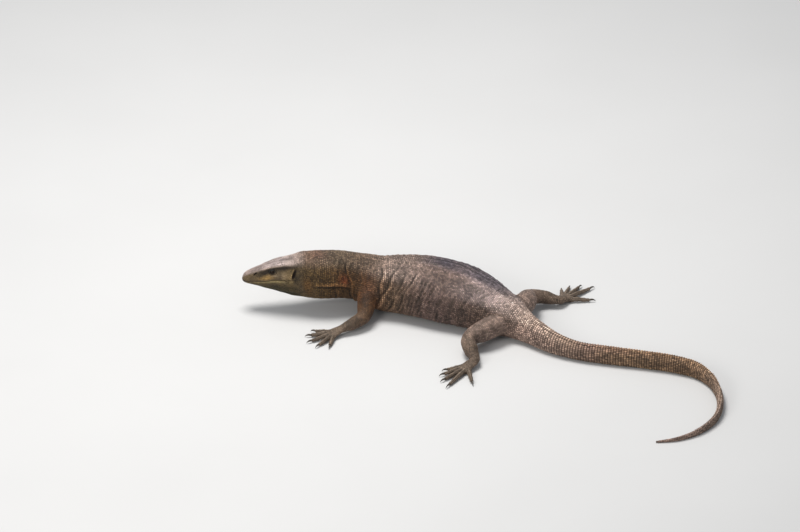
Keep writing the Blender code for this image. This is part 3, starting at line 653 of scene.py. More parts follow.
def body_tube():
    """The fine loft of the body from snout to tail, with every fold, and with the face and the lids."""
    s = [np.arange(a, b - step / 2, step) for a, b, step in BODY_STEPS]
    s = np.sort(np.concatenate([*s, SNOUT_RINGS, [BODY_LENGTH]]))
    half = half_sections(s, HALF_TURN)
    out = np.concatenate([half[:, :, 0], -half[:, -2:0:-1, 0]], axis=1)
    height = np.concatenate([half[:, :, 1], half[:, -2:0:-1, 1]], axis=1)
    centre = (half[:, :1, 1] + half[:, -1:, 1]) / 2
    reach = np.hypot(out, height - centre) + 1e-9
    point, left = axis_at(s)
    rough = np.stack([np.broadcast_to(s[:, None], out.shape), out, height], axis=2)
    raised = relief(s[:, None], TURN[None, :], rough)
    lift = raised - COAT
    height = np.maximum(height + (height - centre) / reach * lift, COAT)
    out = out + out / reach * lift
    flat = point[:, None, :] + left[:, None, :] * out[:, :, None]
    rings = np.concatenate([flat, height[:, :, None]], axis=2)
    tube = Tube(rings, s, BODY_PATCH)
    face = face_relief(s[:, None], TURN[None, :])
    rings = rings + tube.normals() * face[:, :, None]
    for side in (1, -1):
        rings = bulge_eye(rings, side)
    rings = rings + tube.normals() * rim_relief(rings)[:, :, None]
    middle = rings.mean(axis=1, keepdims=True)
    close = np.sqrt(1 - (1 - np.clip((s + 0.00012) / SNOUT_ROUND, 0, 1)) ** 2)
    rings = middle + (rings - middle) * close[:, None, None]
    return Tube(rings, s, BODY_PATCH, raised + face)


def eye_frame(side):
    """The middle of an eye, and the ways forward, up and out of it."""
    middle = np.array([SNOUT_X + EYE_PLACE[0], HEAD_Y - side * EYE_PLACE[1], EYE_PLACE[2]])
    out = unit(np.array([-0.16, -side * 1.0, 0.22]))
    ahead = unit(np.cross(out, [0.0, 0.0, 1.0]) * side)
    return middle, ahead, np.cross(ahead, out) * side, out


def lid_measure(points, side):
    """How many almond widths the points are from the middle of the eye: 1 is the lids' edge."""
    middle, ahead, up, out = eye_frame(side)
    off = points - middle
    x, z = off @ ahead, off @ up
    wide, high = LID_OPEN
    z = z + LID_LEAN * x
    high = np.where(z > 0, high * 0.90, high)
    corner = 1 - 0.25 * np.clip(abs(x) / wide, 0, 1.6) ** 2
    return np.hypot(x / wide, z / (high * np.maximum(corner, 0.4)))


def bulge_eye(rings, side):
    """Raises the skin over the eyeball and gives the lids their rims and creases."""
    middle, ahead, up, out = eye_frame(side)
    off = rings - middle
    level = off @ out
    across = np.sqrt(np.maximum((off**2).sum(axis=2) - level**2, 0))
    near = ((rings[:, :, 1] - HEAD_Y) * -side > 0.004) & (across < 0.016) & (level > -0.008)
    ball = EYE_RADIUS + LID_THICK
    gap = np.sqrt(np.maximum(ball**2 - across**2, 0)) - level
    soft = 0.0007
    rise = (gap + np.sqrt(gap**2 + soft**2)) / 2 * (1 - ramp(across, ball * 0.93, ball * 1.15))
    measure = lid_measure(rings, side)
    for at, spread, height in LID_CREASES:
        rise += height * bell(measure, at, spread)
    return rings + np.where(near, rise, 0)[:, :, None] * out


def opening_measure(points, place, size, lean):
    """How many sizes the points are from the middle of an ear or a nostril, seen from the side."""
    dx = points[..., 0] - SNOUT_X - place[0]
    dz = points[..., 2] - place[2]
    c, s = math.cos(lean), math.sin(lean)
    return np.hypot((c * dx - s * dz) / size[0], (s * dx + c * dz) / size[2])


def rim_relief(rings):
    """The raised rims of the ears, higher in front, and of the nostrils."""
    aside = ramp(abs(rings[:, :, 1] - HEAD_Y), 0.003, 0.006)
    ear = opening_measure(rings, EAR_PLACE, EAR_SIZE, EAR_LEAN)
    ahead = 1 - ramp(rings[:, :, 0] - SNOUT_X - EAR_PLACE[0], -0.002, 0.002)
    rise = (0.0004 + 0.0005 * ahead) * bell(ear, 1.55, 0.35)
    nostril = opening_measure(rings, NOSTRIL_PLACE, NOSTRIL_SIZE, -NOSTRIL_LEAN)
    rise += 0.00045 * bell(nostril, 1.8, 0.5)
    return rise * aside


def limb_rings(path, sizes, stations, turns=12):
    """Rings of a limb along a smooth path, at stations counted in points of it, with their directions."""
    path, sizes = np.asarray(path), np.asarray(sizes)
    at = np.concatenate([[0.0], np.cumsum(np.linalg.norm(np.diff(path, axis=0), axis=1))])
    s = np.interp(stations, np.arange(len(path)), at)
    centre = smooth(at, path, s, monotone=False)
    size = smooth(at, sizes, s)
    ahead = unit(np.gradient(centre, axis=0))
    side = unit(np.cross([0.0, 0.0, 1.0], ahead))
    up = np.cross(ahead, side)
    a = np.linspace(0, 2 * math.pi, turns, endpoint=False)
    rings = (
        centre[:, None, :]
        + side[:, None, :] * (np.cos(a)[None, :] * size[:, :1])[:, :, None]
        + up[:, None, :] * (np.sin(a)[None, :] * size[:, 1:])[:, :, None]
    )
    rings[:, :, 2] = np.maximum(rings[:, :, 2], 0.0)
    return rings, ahead, s


def leg_point(root, side, place):
    """A leg's point in world space, from its place out from the axis, forward and up."""
    point, left = axis_at(root)
    out = left[0] * side
    forward = np.array([-left[0][1], left[0][0]])
    flat = point[0] + out * place[0] - forward * place[1]
    return np.array([flat[0], flat[1], place[2]])


def leg_tubes(number, word):
    """The tube of one leg, those of its toes, and where its claws start, with their heading and length."""
    root, side, places = LIMBS[word]
    front = word.startswith("front")
    points = [leg_point(root, side, place) for place in places]
    wrist, knuckles = points[4], points[5]
    ahead = unit(knuckles - wrist)
    path = points[:5] + [wrist + (knuckles - wrist) * 0.45, knuckles, knuckles + ahead * (1, 1, 0) * 0.006]
    sizes = np.array((ARM_SIZES if front else LEG_SIZES) + PALM_SIZES) - COAT
    stations = np.concatenate([np.linspace(0, 4, 80), np.linspace(4.08, 7, 36)])
    rings, _, s = limb_rings(path, sizes, stations, turns=56)
    column = number * 0.085
    tube = Tube(rings, s, (0.63 + column, 0.02, 0.705 + column, 0.60))
    lift = 0.00045 * noise(rings, 0.011, 6) + 0.00025 * noise(rings, 0.005, 7)
    lift *= (1 - ramp(s, s[-1] * 0.80, s[-1]))[:, None]
    tube = Tube(rings + tube.normals() * lift[:, :, None], s, tube.patch, lift)
    tube.rings[:, :, 2] = np.maximum(tube.rings[:, :, 2], COAT / 2)
    heading = math.atan2(ahead[1], ahead[0])
    across = np.array([-math.sin(heading), math.cos(heading), 0.0]) * side
    toes, claws = [], []
    for k, (spread, length, claw) in enumerate(FRONT_TOES if front else HIND_TOES):
        turn = math.radians(spread)
        start = knuckles - ahead * 0.003 + across * 0.0085 * math.sin(turn * 1.3)
        way = heading + side * turn
        patch = (0.63 + column + 0.0152 * k, 0.63, 0.642 + column + 0.0152 * k, 0.98)
        toe, tip, direction = toe_tube(start, way, length, patch)
        toes.append(toe)
        claws.append((tip, way, direction, claw))
    return tube, toes, claws


def toe_tube(start, heading, length, patch):
    """One toe with swollen joints and a rounded end round its claw."""
    ahead = np.array([math.cos(heading), math.sin(heading), 0.0])
    path = [(*(start[:2] + ahead[:2] * length * part), height) for part, height in TOE_LINE]
    sizes = np.array(TOE_SIZES) * TOE_RADIUS - COAT / 2
    rings, way, s = limb_rings(path, sizes, np.linspace(0, 3, TOE_RINGS), turns=24)
    middle = rings.mean(axis=1, keepdims=True)
    share = np.linspace(0, 1, TOE_RINGS)
    bends = np.linspace(-0.1, 1.05, TOE_RINGS) * 2 * math.pi * 3
    joints = 1 + 0.075 * np.cos(bends) * ramp(share, 0.1, 0.3)
    close = np.sqrt(np.clip(1 - (np.clip(share - 0.93, 0, 1) / 0.075) ** 2, 0.16, 1))
    rings = middle + (rings - middle) * (joints * close)[:, None, None]
    rings[:, :, 2] = np.maximum(rings[:, :, 2], COAT / 2)
    return Tube(rings, s, patch), np.array(path[-1]), way[-1]


def swell(tube, others, reach):
    """Raises a tube towards the surfaces that it meets, so that they join in a fillet."""
    normals = tube.normals()
    for other in others:
        points, faces, _ = other.mesh_parts()
        tree = BVHTree.FromPolygons(points.tolist(), [f for part in faces for f in part.tolist()])
        low, high = points.min(axis=0) - reach, points.max(axis=0) + reach
        inside = ((tube.rings > low) & (tube.rings < high)).all(axis=2)
        for i, j in zip(*np.nonzero(inside)):
            found = tree.find_nearest(tube.rings[i, j], reach)
            if found[0] is not None:
                near = 1 - found[3] / reach
                tube.rings[i, j] += normals[i, j] * near * near * reach / 4
    tube.rings[:, :, 2] = np.maximum(tube.rings[:, :, 2], COAT / 2)


def boolean(obj, operation, others):
    """Joins or cuts obj with closed mesh objects, applies it and removes them."""
    group = bpy.data.collections.new("operands")
    bpy.context.scene.collection.children.link(group)
    for other in others:
        group.objects.link(other)
    step = obj.modifiers.new("step", "BOOLEAN")
    step.operation = operation
    step.solver = "MANIFOLD"
    step.operand_type = "COLLECTION"
    step.collection = group
    made = bpy.data.meshes.new_from_object(obj.evaluated_get(bpy.context.evaluated_depsgraph_get()))
    obj.modifiers.clear()
    old = obj.data
    obj.data = made
    bpy.data.meshes.remove(old)
    for other in others:
        mesh = other.data
        bpy.data.objects.remove(other)
        bpy.data.meshes.remove(mesh)
    bpy.data.collections.remove(group)


def egg(name, centre, radii, lean, turns=36, rows=24):
    """A cutter: an ellipsoid, leaned about the y axis."""
    angle = np.linspace(0, 2 * math.pi, turns, endpoint=False)
    fall = np.linspace(0.02, math.pi - 0.02, rows)
    x = np.sin(fall)[:, None] * np.cos(angle) * radii[0]
    y = np.sin(fall)[:, None] * np.sin(angle) * radii[1]
    z = np.cos(fall)[:, None] * np.ones(turns) * radii[2]
    c, s = math.cos(lean), math.sin(lean)
    rings = np.stack([centre[0] + c * x + s * z, centre[1] + y, centre[2] - s * x + c * z], axis=2)
    return tube_object(name, Tube(rings, fall, INSIDE_PATCH))


def lid_cutter(side):
    """A cutter for the opening between the lids, almond shaped."""
    middle, ahead, up, out = eye_frame(side)
    angle = np.linspace(0, 2 * math.pi, 64, endpoint=False)
    wide, high = LID_OPEN
    x = np.cos(angle) * wide
    tall = np.where(np.sin(angle) > 0, high * 0.90, high)
    z = np.sin(angle) * tall * (1 - 0.25 * np.cos(angle) ** 2) - LID_LEAN * x
    rows = []
    for reach, grow in ((EYE_RADIUS * 0.5, 0.9), (EYE_RADIUS + 0.004, 1.1)):
        rows.append(middle + out * reach + ahead * (x * grow)[:, None] + up * (z * grow)[:, None])
    return tube_object("lids_cut", Tube(np.array(rows), [0, 1], INSIDE_PATCH))


def mouth_level(s):
    """The height of the line between the lips, which drops at its corner."""
    return smooth(HEAD_ROWS[:, 0], HEAD_ROWS[:, 4], np.clip(s, 0, 1))[:, 0] - 0.006 * ramp(s, 0.068, 0.084)


def mouth_cutter():
    """A cutter for the line between the lips: a thin sheet through the head that thins out at the corner."""
    s = np.linspace(-0.006, MOUTH_CORNER, 60)
    level = mouth_level(s)
    taper = np.sqrt(np.clip((MOUTH_CORNER + 0.0004 - s) / 0.02, 0, 1))
    thick = MOUTH_GAP / 2 * taper * (1 + 0.12 * np.sin(s * 900))
    rings = []
    for x, z, half in zip(s + SNOUT_X, level, thick):
        rings.append([(x, HEAD_Y - 0.05, z - half), (x, HEAD_Y + 0.05, z - half),
                      (x, HEAD_Y + 0.05, z + half), (x, HEAD_Y - 0.05, z + half)])
    return tube_object("mouth_cut", Tube(np.array(rings), s, INSIDE_PATCH))


def head_cutters():
    """Every opening of the head: mouth, eyes, ears and nostrils."""
    made = [mouth_cutter()]
    for side in (1, -1):
        eye = eye_frame(side)[0]
        made.append(egg("socket", eye, [EYE_RADIUS + 0.0001] * 3, 0.0))
        made.append(lid_cutter(side))
        x, out, z = EAR_PLACE
        made.append(egg("ear", (SNOUT_X + x, HEAD_Y - side * out, z), EAR_SIZE, EAR_LEAN))
        x, out, z = NOSTRIL_PLACE
        made.append(egg("nostril", (SNOUT_X + x, HEAD_Y - side * out, z), NOSTRIL_SIZE, -NOSTRIL_LEAN))
    return made


def turn_at(column):
    """The place round the body, from 0 at the back to 10 or -10 at the belly, for a fractional column."""
    return np.interp(column % len(TURN), np.arange(len(TURN) + 1), np.append(TURN, 0))


def body_tone(s, column, place):
    """The colour of back, flank and belly, with the patches of the face and neck, mottled. Part of it is
    painted light: shadows under the brow and in front of the eye, a sheen on the far flank, shade on the
    lids, under the jaw and round the ears' openings, and highlights in front of the ears and, in part, on
    the pale crown and hips.
    """
    turn = turn_at(column)
    at = np.array([row[0] for row in TONES])
    table = np.array([np.concatenate(row[1:]) for row in TONES])
    rows = smooth(at, table, s).reshape(-1, 3, 3)
    t = abs(turn)
    level = table_at(BACK_EDGE, s)
    down = ramp(t, level - 0.7, level + 0.9)[:, None]
    under = ramp(t, 6.8, 8.6)[:, None]
    tone = blend(rows[:, 0], rows[:, 1], down)
    tone = blend(tone, rows[:, 2], under)
    for patch_s, patch_t, long, tall, colour, strength in PATCHES:
        near = np.exp(-(((s - patch_s) / long) ** 2) - ((t - patch_t) / tall) ** 2)[:, None] * strength
        tone = blend(tone, np.array(colour), near)
    # Painted dark blue-grey sheen, patchy, on the far flank beyond the spine
    far = window(s, 0.305, 0.450, 0.05) * ramp(-turn, -0.50, 0.60) * (1 - ramp(t, 2.4, 4.6))
    far = (far * FAR_PAINTED_SHEEN[1] * (0.95 + 0.25 * noise(place, 0.020, 14)))[:, None]
    tone = blend(tone, np.array(FAR_PAINTED_SHEEN[0]), far)
    spine = window(s, 0.225, 0.470, 0.04) * bell(turn, 0.45, 0.22)
    # Painted shade on lids and round ear openings, painted highlight in front of ears; spine's line lighter
    shade = 1 - 0.72 * lid_painted_shade(place) + ear_painted_light(place) + 0.45 * spine
    return tone * shade[:, None] * mottle(place)


def painted_crease_light(tube, s, column):
    """Painted shade in the creases of a tube and painted highlight on its ridges: how much darker and
    lighter.
    """
    raised = tube.at(s.ravel(), column.ravel(), tube.lift).reshape(s.shape + (1,))
    return 1 + np.clip(raised * PAINTED_CREASE_LIGHT, *PAINTED_CREASE_LIGHT_RANGE)


def lid_painted_shade(place):
    """Where the lids are darkened with painted shade: 1 on the lids and 0 away from them."""
    shade = np.zeros(len(place))
    near = np.abs(place[:, 0] - SNOUT_X - EYE_PLACE[0]) < 0.02
    for side in (1, -1):
        own = near & ((place[:, 1] - HEAD_Y) * -side > 0)
        shade[own] = 1 - ramp(lid_measure(place[own], side), 1.4, 2.5)
    return shade


def ear_painted_light(place):
    """Painted highlight on the skin in front of an ear's rim, and painted shade just outside its opening."""
    ear = opening_measure(place, EAR_PLACE, EAR_SIZE, EAR_LEAN)
    ahead = 1 - ramp(place[:, 0] - SNOUT_X - EAR_PLACE[0], -0.002, 0.002)
    aside = ramp(abs(place[:, 1] - HEAD_Y), 0.010, 0.016)
    pale = 0.9 * ahead * bell(ear, 1.75, 0.45)
    dark = 0.4 * bell(ear, 1.1, 0.25)
    return aside * (pale - dark)


def mottle(place):
    """Blotches, darker and lighter, over the whole animal."""
    spots = noise(place, 0.022, 11) * 0.14 + noise(place, 0.010, 12) * 0.14
    spots += noise(place, 0.0055, 13) * (0.14 + 0.12 * ramp(place[:, 0], SNOUT_X + 0.070, SNOUT_X + 0.110))
    return np.exp(spots)[:, None]


def leg_tone(kind, share, place):
    """The colour of a leg, this share of the way from its root to its toes."""
    table = HIND_TONES if kind.startswith("hind") else FRONT_TONES
    tone = smooth([row[0] for row in table], [row[1] for row in table], np.clip(share, 0, 1))
    return tone * mottle(place)


def skin_tones(mesh, tubes):
    """A colour for each point of the skin, from its own place on the unwrap."""
    corner = np.zeros(len(mesh.loops), np.int32)
    mesh.loops.foreach_get("vertex_index", corner)
    uv = np.zeros(len(mesh.loops) * 2, np.float32)
    mesh.uv_layers["OFBake"].uv.foreach_get("vector", uv)
    place = np.zeros((len(mesh.vertices), 2))
    place[corner] = uv.reshape(-1, 2)
    points = np.zeros(len(mesh.vertices) * 3, np.float32)
    mesh.vertices.foreach_get("co", points)
    points = points.reshape(-1, 3)
    # Points of no tube, the insides of the openings, get the dark painted shade
    tones = np.tile(INSIDE_PAINTED_SHADE, (len(points), 1))
    for kind, tube in tubes:
        u0, v0, u1, v1 = tube.patch
        own = ((place > np.array([u0, v0]) - 1e-4) & (place < np.array([u1, v1]) + 1e-4)).all(axis=1)
        share = (place[own, 1] - v0) / (v1 - v0)
        s = tube.along[0] + share * (tube.along[-1] - tube.along[0])
        column = (place[own, 0] - u0) / (u1 - u0) * tube.rings.shape[1]
        if kind == "body":
            tones[own] = body_tone(s, column, points[own])
        else:
            tones[own] = leg_tone(kind, share if kind != "toe" else np.ones(own.sum()), points[own])
        # Painted shade in the creases and painted highlight on the ridges
        tones[own] *= painted_crease_light(tube, s, column)
    return tones


def make_skin(body, legs):
    """The one skin: body, legs and toes joined, then opened at eyes, mouth, ears and nostrils."""
    leg_list = [leg for leg, _, _ in legs]
    plain = Tube(body.rings.copy(), body.along, body.patch)
    swell(body, leg_list, LEG_FILLET)
    for leg, toes, _ in legs:
        swell(leg, [plain], LEG_FILLET)
        flat = Tube(leg.rings.copy(), leg.along, leg.patch)
        swell(leg, toes, TOE_FILLET)
        for toe in toes:
            swell(toe, [flat], TOE_FILLET)
    skin = tube_object("skin", body)
    joined = [tube_object("leg", leg) for leg, _, _ in legs]
    joined += [tube_object("toe", toe) for _, toes, _ in legs for toe in toes]
    boolean(skin, "UNION", joined)
    boolean(skin, "DIFFERENCE", head_cutters())
    tubes = [("body", body)]
    for word, (leg, toes, _) in zip(LIMBS, legs):
        tubes.append((word[:4] + "leg", leg))
        tubes += [("toe", toe) for toe in toes]
    # The whole skin darkened by painted shade, dark in the gaps between the scales
    paint(skin.data, skin_tones(skin.data, tubes) * SKIN_PAINTED_SHADE)
    skin.data.shade_smooth()
    return skin


def scale_form(turns, inner, keel, tilt, wide, square, shades, banded=0.0, stretch=1.0):
    """The form of one scale, with x along the body: directions of its rim, heights, painted shades and
    polygons.

    inner is how far out its shoulder is, wide its greatest reach in pitches and spacings, square how boxy
    that is, and shades the painted light of its rim, shoulder and top: painted shade at the rim, in the gaps
    between scales, and a painted highlight on the top. banded lightens the rim's painted shade at the sides,
    so that the dark gaps run round the body, and stretch turns the rim's corners to the sides, for a scale
    wider than long.
    """
    angle = (np.arange(turns) + 0.5 * (stretch > 1)) / turns * 2 * math.pi
    angle = np.arctan2(stretch * np.sin(angle), np.cos(angle))
    rim = np.stack([np.cos(angle), np.sin(angle)], axis=1)
    places = np.concatenate([[[0.0, 0.0]], rim * inner])
    height = np.concatenate([[1.0], np.full(turns, 0.78)]) * (1 + tilt * places[:, 0])
    height += keel * np.exp(-((places[:, 1] / 0.28) ** 2)) * (1 + 0.4 * places[:, 0])
    i = np.arange(turns)
    j = (i + 1) % turns
    fan = np.stack([np.zeros(turns, int), 1 + i, 1 + j], axis=1)
    wall = np.stack([1 + i, 1 + turns + i, 1 + turns + j, 1 + j], axis=1)
    base = 1 + turns + i[::-1][None, :]
    low, middle, high = shades
    edge = low + (middle - low) * banded * np.abs(np.sin(angle)) ** 2
    shade = np.concatenate([[high], np.full(turns, middle), edge])
    return {"rim": rim, "places": np.concatenate([places, rim]), "height": height, "shade": shade,
            "inner": inner, "wide": wide, "square": square, "faces": [fan, wall, base]}


# Each form's shades, of rim, shoulder and top, are painted light: shade at the rim, highlight on the top
FORMS = {
    "pebble": scale_form(10, 0.72, 0.10, 0.15, (0.70, 0.56), 2.2, (0.28, 0.90, 1.65), banded=0.40),
    "granule": scale_form(6, 0.72, 0.0, 0.0, (0.60, 0.60), 2.0, (0.45, 0.90, 1.20)),
    "shield": scale_form(10, 0.82, 0.0, 0.0, (0.85, 0.85), 2.0, (0.36, 1.05, 1.25)),
    "brow": scale_form(10, 0.84, 0.0, 0.0, (0.56, 0.52), 3.0, (0.36, 1.00, 1.25)),
    "keeled": scale_form(10, 0.78, 0.55, 0.45, (0.52, 0.56), 4.0, (0.16, 1.05, 1.50), banded=0.75),
    "crest": scale_form(10, 0.70, 1.00, 0.60, (0.50, 0.50), 3.0, (0.14, 0.60, 1.30)),
    "plate": scale_form(8, 0.80, 0.0, 0.20, (0.56, 0.60), 4.0, (0.38, 1.05, 1.25)),
    "band": scale_form(10, 0.80, 0.0, 0.20, (0.56, 0.85), 4.0, (0.34, 1.05, 1.30), stretch=2.4),
}


def scale_rows(s, column, pitch, spacing):
    """One line for each scale: distance along, column, pitch and spacing."""
    return np.stack(np.broadcast_arrays(s, column, pitch, spacing), axis=1)


def rows_on(tube, first, last, pitch, spacing, brick=True, step=2, jitter=0.0, wobble=0.0):
    """Places for scales in rows across a tube: distance along and column, with their pitch and spacing.

    pitch and spacing are functions of the distance along, and spacing also of the turn round.
    """
    found = []
    s, row = first, 0
    count = tube.rings.shape[1]
    columns = np.arange(count + 1)
    while s < last:
        arcs = tube.arcs_at(s)
        between = (columns[1:] + columns[:-1]) / 2
        local = spacing(s, between)
        dense = np.concatenate([[0.0], np.cumsum(np.diff(arcs) / local)])
        number = max(step * round(dense[-1] / step), 4)
        phase = 0.5 * (row % 2) if brick else 0.0
        order = (np.arange(number) + phase) / number * dense[-1]
        column = np.interp(order, dense, columns)
        across = np.interp(column, between, local) * dense[-1] / number
        here = np.full(number, s)
        if jitter:
            here += rng.normal(0, jitter, number) * pitch(s)
            column = column + rng.normal(0, jitter, number) * across / (arcs[-1] / count)
        if wobble:
            here += wobble * noise(np.stack([here, column * 0.0008, 0 * here], axis=1), 0.016, 21)
        found.append(np.stack([here, column % count, np.full(number, pitch(s)), across], axis=1))
        s += pitch(s)
        row += 1
    return np.concatenate(found)


class Coat:
    """The scales of one piece. Each reaches half way to its neighbours, and its rim follows the skin."""

    def __init__(self, name, slot, skin):
        self.name, self.slot, self.skin = name, slot, skin
        self.sets = []

    def add(self, tube, rows, form, height, tone_at, patch, vary=0.16, reach=0.0035, keep=None, taken=None):
        """Places scales by rows of distance, column, pitch and spacing, and returns their roots."""
        s, column = rows[:, 0], rows[:, 1]
        way = tube.at(s + 0.0012, column) - tube.at(s - 0.0012, column)
        outward = unit(tube.at(s, column) - tube.at(s, column + tube.rings.shape[1] / 2))
        kept, spot, normal = [], [], []
        for i, root in enumerate(tube.at(s, column)):
            place, facing, _, _ = self.skin.find_nearest(root, reach)
            if place is None or (keep is not None and not keep(place)) or facing.dot(outward[i]) < FACING:
                continue
            if taken is not None and taken.find(place)[2] < APART * min(rows[i, 2:]):
                continue
            kept.append(i)
            spot.append(place[:])
            normal.append(facing[:])
        rows, way, spot, normal = rows[kept], way[kept], np.array(spot), np.array(normal)
        along = unit(way - normal * (way * normal).sum(axis=1, keepdims=True))
        tone = tone_at(rows, spot) * np.exp(vary * np.clip(rng.normal(size=(len(spot), 1)), -2.0, 1.5))
        uv = tube.unwrap(rows[:, 0], rows[:, 1], patch)
        self.sets.append((FORMS[form], height, tube, rows, spot, normal, along, tone, uv))
        return spot

    def roots(self):
        return [own[4] for own in self.sets]

    def grow(self, shape, height, tube, rows, spot, normal, along, tone, uv, neighbours, all_roots):
        """Points, colours and places on the unwrap of one set of scales, by scale and point."""
        across = np.cross(normal, along)
        cosine, sine = shape["rim"].T
        size = rows[:, 2:] * shape["wide"] * (1 + 0.05 * rng.normal(size=(len(rows), 2)))
        own = (abs(cosine) / size[:, :1]) ** shape["square"] + (abs(sine) / size[:, 1:]) ** shape["square"]
        near = [[found[1] for found in neighbours.find_n(place, NEAREST + 1)[1:]] for place in spot]
        off = all_roots[np.array(near)] - spot[:, None]
        x, y = (off * along[:, None]).sum(axis=2), (off * across[:, None]).sum(axis=2)
        gap = np.maximum((off**2).sum(axis=2), (rows[:, 3:] * 0.35) ** 2) / 2
        toward = (x[:, :, None] * cosine + y[:, :, None] * sine) / gap[:, :, None]
        total = own ** (CORNERS / shape["square"]) + (np.maximum(toward, 0) ** CORNERS).sum(axis=1)
        reach = FILL * total ** (-1 / CORNERS)
        x, y = (reach * cosine)[:, :, None], (reach * sine)[:, :, None]
        rim = spot[:, None] + along[:, None] * x + across[:, None] * y
        rim_normal = np.empty_like(rim)
        for i, j in np.ndindex(rim.shape[:2]):
            rim[i, j], rim_normal[i, j] = self.skin.find_nearest(rim[i, j])[:2]
        tall = height * (0.85 + 0.3 * rng.random(len(spot)))[:, None, None]
        top = spot[:, None] + normal[:, None] * tall * shape["height"][0]
        shoulder = spot[:, None] + (rim - spot[:, None]) * shape["inner"]
        shoulder += unit(normal[:, None] * 0.4 + rim_normal * 0.6) * tall * shape["height"][None, 1:, None]
        points = np.concatenate([top, shoulder, rim - rim_normal * RIM_SUNK], axis=1)
        points[:, :, 2] = np.maximum(points[:, :, 2], 0.0)
        row = np.minimum(np.searchsorted(tube.along, rows[:, 0]), len(tube.along) - 1)
        column = np.floor(rows[:, 1]).astype(int)
        wide = (tube.arcs[row, column + 1] - tube.arcs[row, column])[:, None]
        parts = np.concatenate([[0.0], np.full(len(cosine), shape["inner"]), np.ones(len(cosine))])
        x = np.concatenate([x[:, :1, 0], x[:, :, 0], x[:, :, 0]], axis=1) * parts
        y = np.concatenate([y[:, :1, 0], y[:, :, 0], y[:, :, 0]], axis=1) * parts
        # Painted light: shade in creases and at the rim, highlight on ridges and on the scale's top
        shade = painted_crease_light(tube, rows[:, :1] + x, rows[:, 1:2] - y / wide) * shape["shade"][None, :, None]
        return points, tone[:, None] * shade, uv[:, None] + shape["places"][None] * PATCH_HALF

    def finish(self, neighbours, all_roots):
        """Makes the piece's one joined mesh, with every scale's neighbours known."""
        points, tones, faces, uvs = [], [], [], []
        start = triangles = 0
        for own in self.sets:
            place, tone, uv = self.grow(*own, neighbours, all_roots)
            count, size = place.shape[:2]
            base = start + np.arange(count)[:, None, None] * size
            for face in own[0]["faces"]:
                faces.append((base + face[None]).reshape(-1, face.shape[1]))
                uvs.append(uv[:, face].reshape(-1, face.shape[1], 2))
                triangles += count * len(face) * (face.shape[1] - 2)
            points.append(place.reshape(-1, 3))
            tones.append(tone.reshape(-1, 3))
            start += count * size
        print(self.name, triangles, "triangles")
        return add_mesh(self.name, np.concatenate(points), faces, uvs, np.concatenate(tones))


def tree_of(roots):
    made = KDTree(len(roots))
    for i, place in enumerate(roots):
        made.insert(place, i)
    made.balance()
    return made


def clear_of_openings(place):
    """Whether a scale may grow here: not on the lids, in the ear, in a nostril or between the lips."""
    if place[0] > SNOUT_X + HEAD_END:
        return True
    spot = np.array(place)
    ear = opening_measure(spot, EAR_PLACE, EAR_SIZE, EAR_LEAN)
    nostril = opening_measure(spot, NOSTRIL_PLACE, NOSTRIL_SIZE, -NOSTRIL_LEAN)
    crown = abs(spot[1] - HEAD_Y) < 0.006
    lid = lid_measure(spot, 1 if spot[1] < HEAD_Y else -1)
    return lid > 2.0 and ear > 1.12 and (nostril > 1.45 or crown)


def head_fence(body):
    """Points along the mouth and round the nostrils and ears, which every scale stays half way clear of."""
    found = []
    angle = np.linspace(0, 2 * math.pi, 28, endpoint=False)
    openings = ((EAR_PLACE, EAR_SIZE, EAR_LEAN), (NOSTRIL_PLACE, NOSTRIL_SIZE, -NOSTRIL_LEAN))
    for side in (1, -1):
        s = np.arange(0.0, MOUTH_CORNER, FENCE_STEP)
        for down in LIP_FENCE:
            found.append(body.at(s, np.array([lip_column(body, place, side, down) for place in s])))
        for (x, out, z), size, lean in openings:
            long, tall = np.cos(angle) * size[0], np.sin(angle) * size[2]
            cosine, sine = math.cos(lean), math.sin(lean)
            along = SNOUT_X + x + cosine * long + sine * tall
            up = z - sine * long + cosine * tall
            found.append(np.stack([along, np.full(len(angle), HEAD_Y - side * out), up], axis=1))
    return np.concatenate(found)


def face_spacing(s, column):
    """How far apart the scales of the head are: larger on the crown, and small on the sides."""
    turn = abs(turn_at(column))
    crown = 1 - ramp(turn, 1.3, 1.9)
    return (0.00185 + 0.00055 * crown + 0.0004 * ramp(turn, 6.6, 7.6)) * (0.80 + 0.20 * ramp(s, 0.0, 0.03))


def lip_column(body, s, sign, down):
    """The column this far below the mouth's line, on the left side for 1 and the right for -1."""
    row = int(np.argmin(abs(body.along - s)))
    arcs = body.arcs[row]
    cheek = np.nonzero(abs(HALF_TURN - 6.0) < 1.2)[0]
    cheek = cheek if sign > 0 else len(TURN) - cheek
    lip = np.interp(-mouth_level(np.array([s]))[0], -body.rings[row, cheek, 2], arcs[cheek])
    return np.interp(lip + sign * down, arcs, np.arange(len(arcs)))


def lip_band(body, rows):
    """Which of the rows' places lie where the plates of the lips are."""
    found = []
    for s, column in rows[:, :2]:
        arcs = body.arcs_at(s)
        sign = 1 if column < len(TURN) / 2 else -1
        here, lip = np.interp([column, lip_column(body, s, sign, 0.0)], np.arange(len(arcs)), arcs)
        gap = (here - lip) * sign * (2.5 if s < SNOUT_TIP else 1.0)
        found.append(LIP_BAND[0] < gap < LIP_BAND[1] and s < MOUTH_CORNER + 0.001)
    return np.array(found)


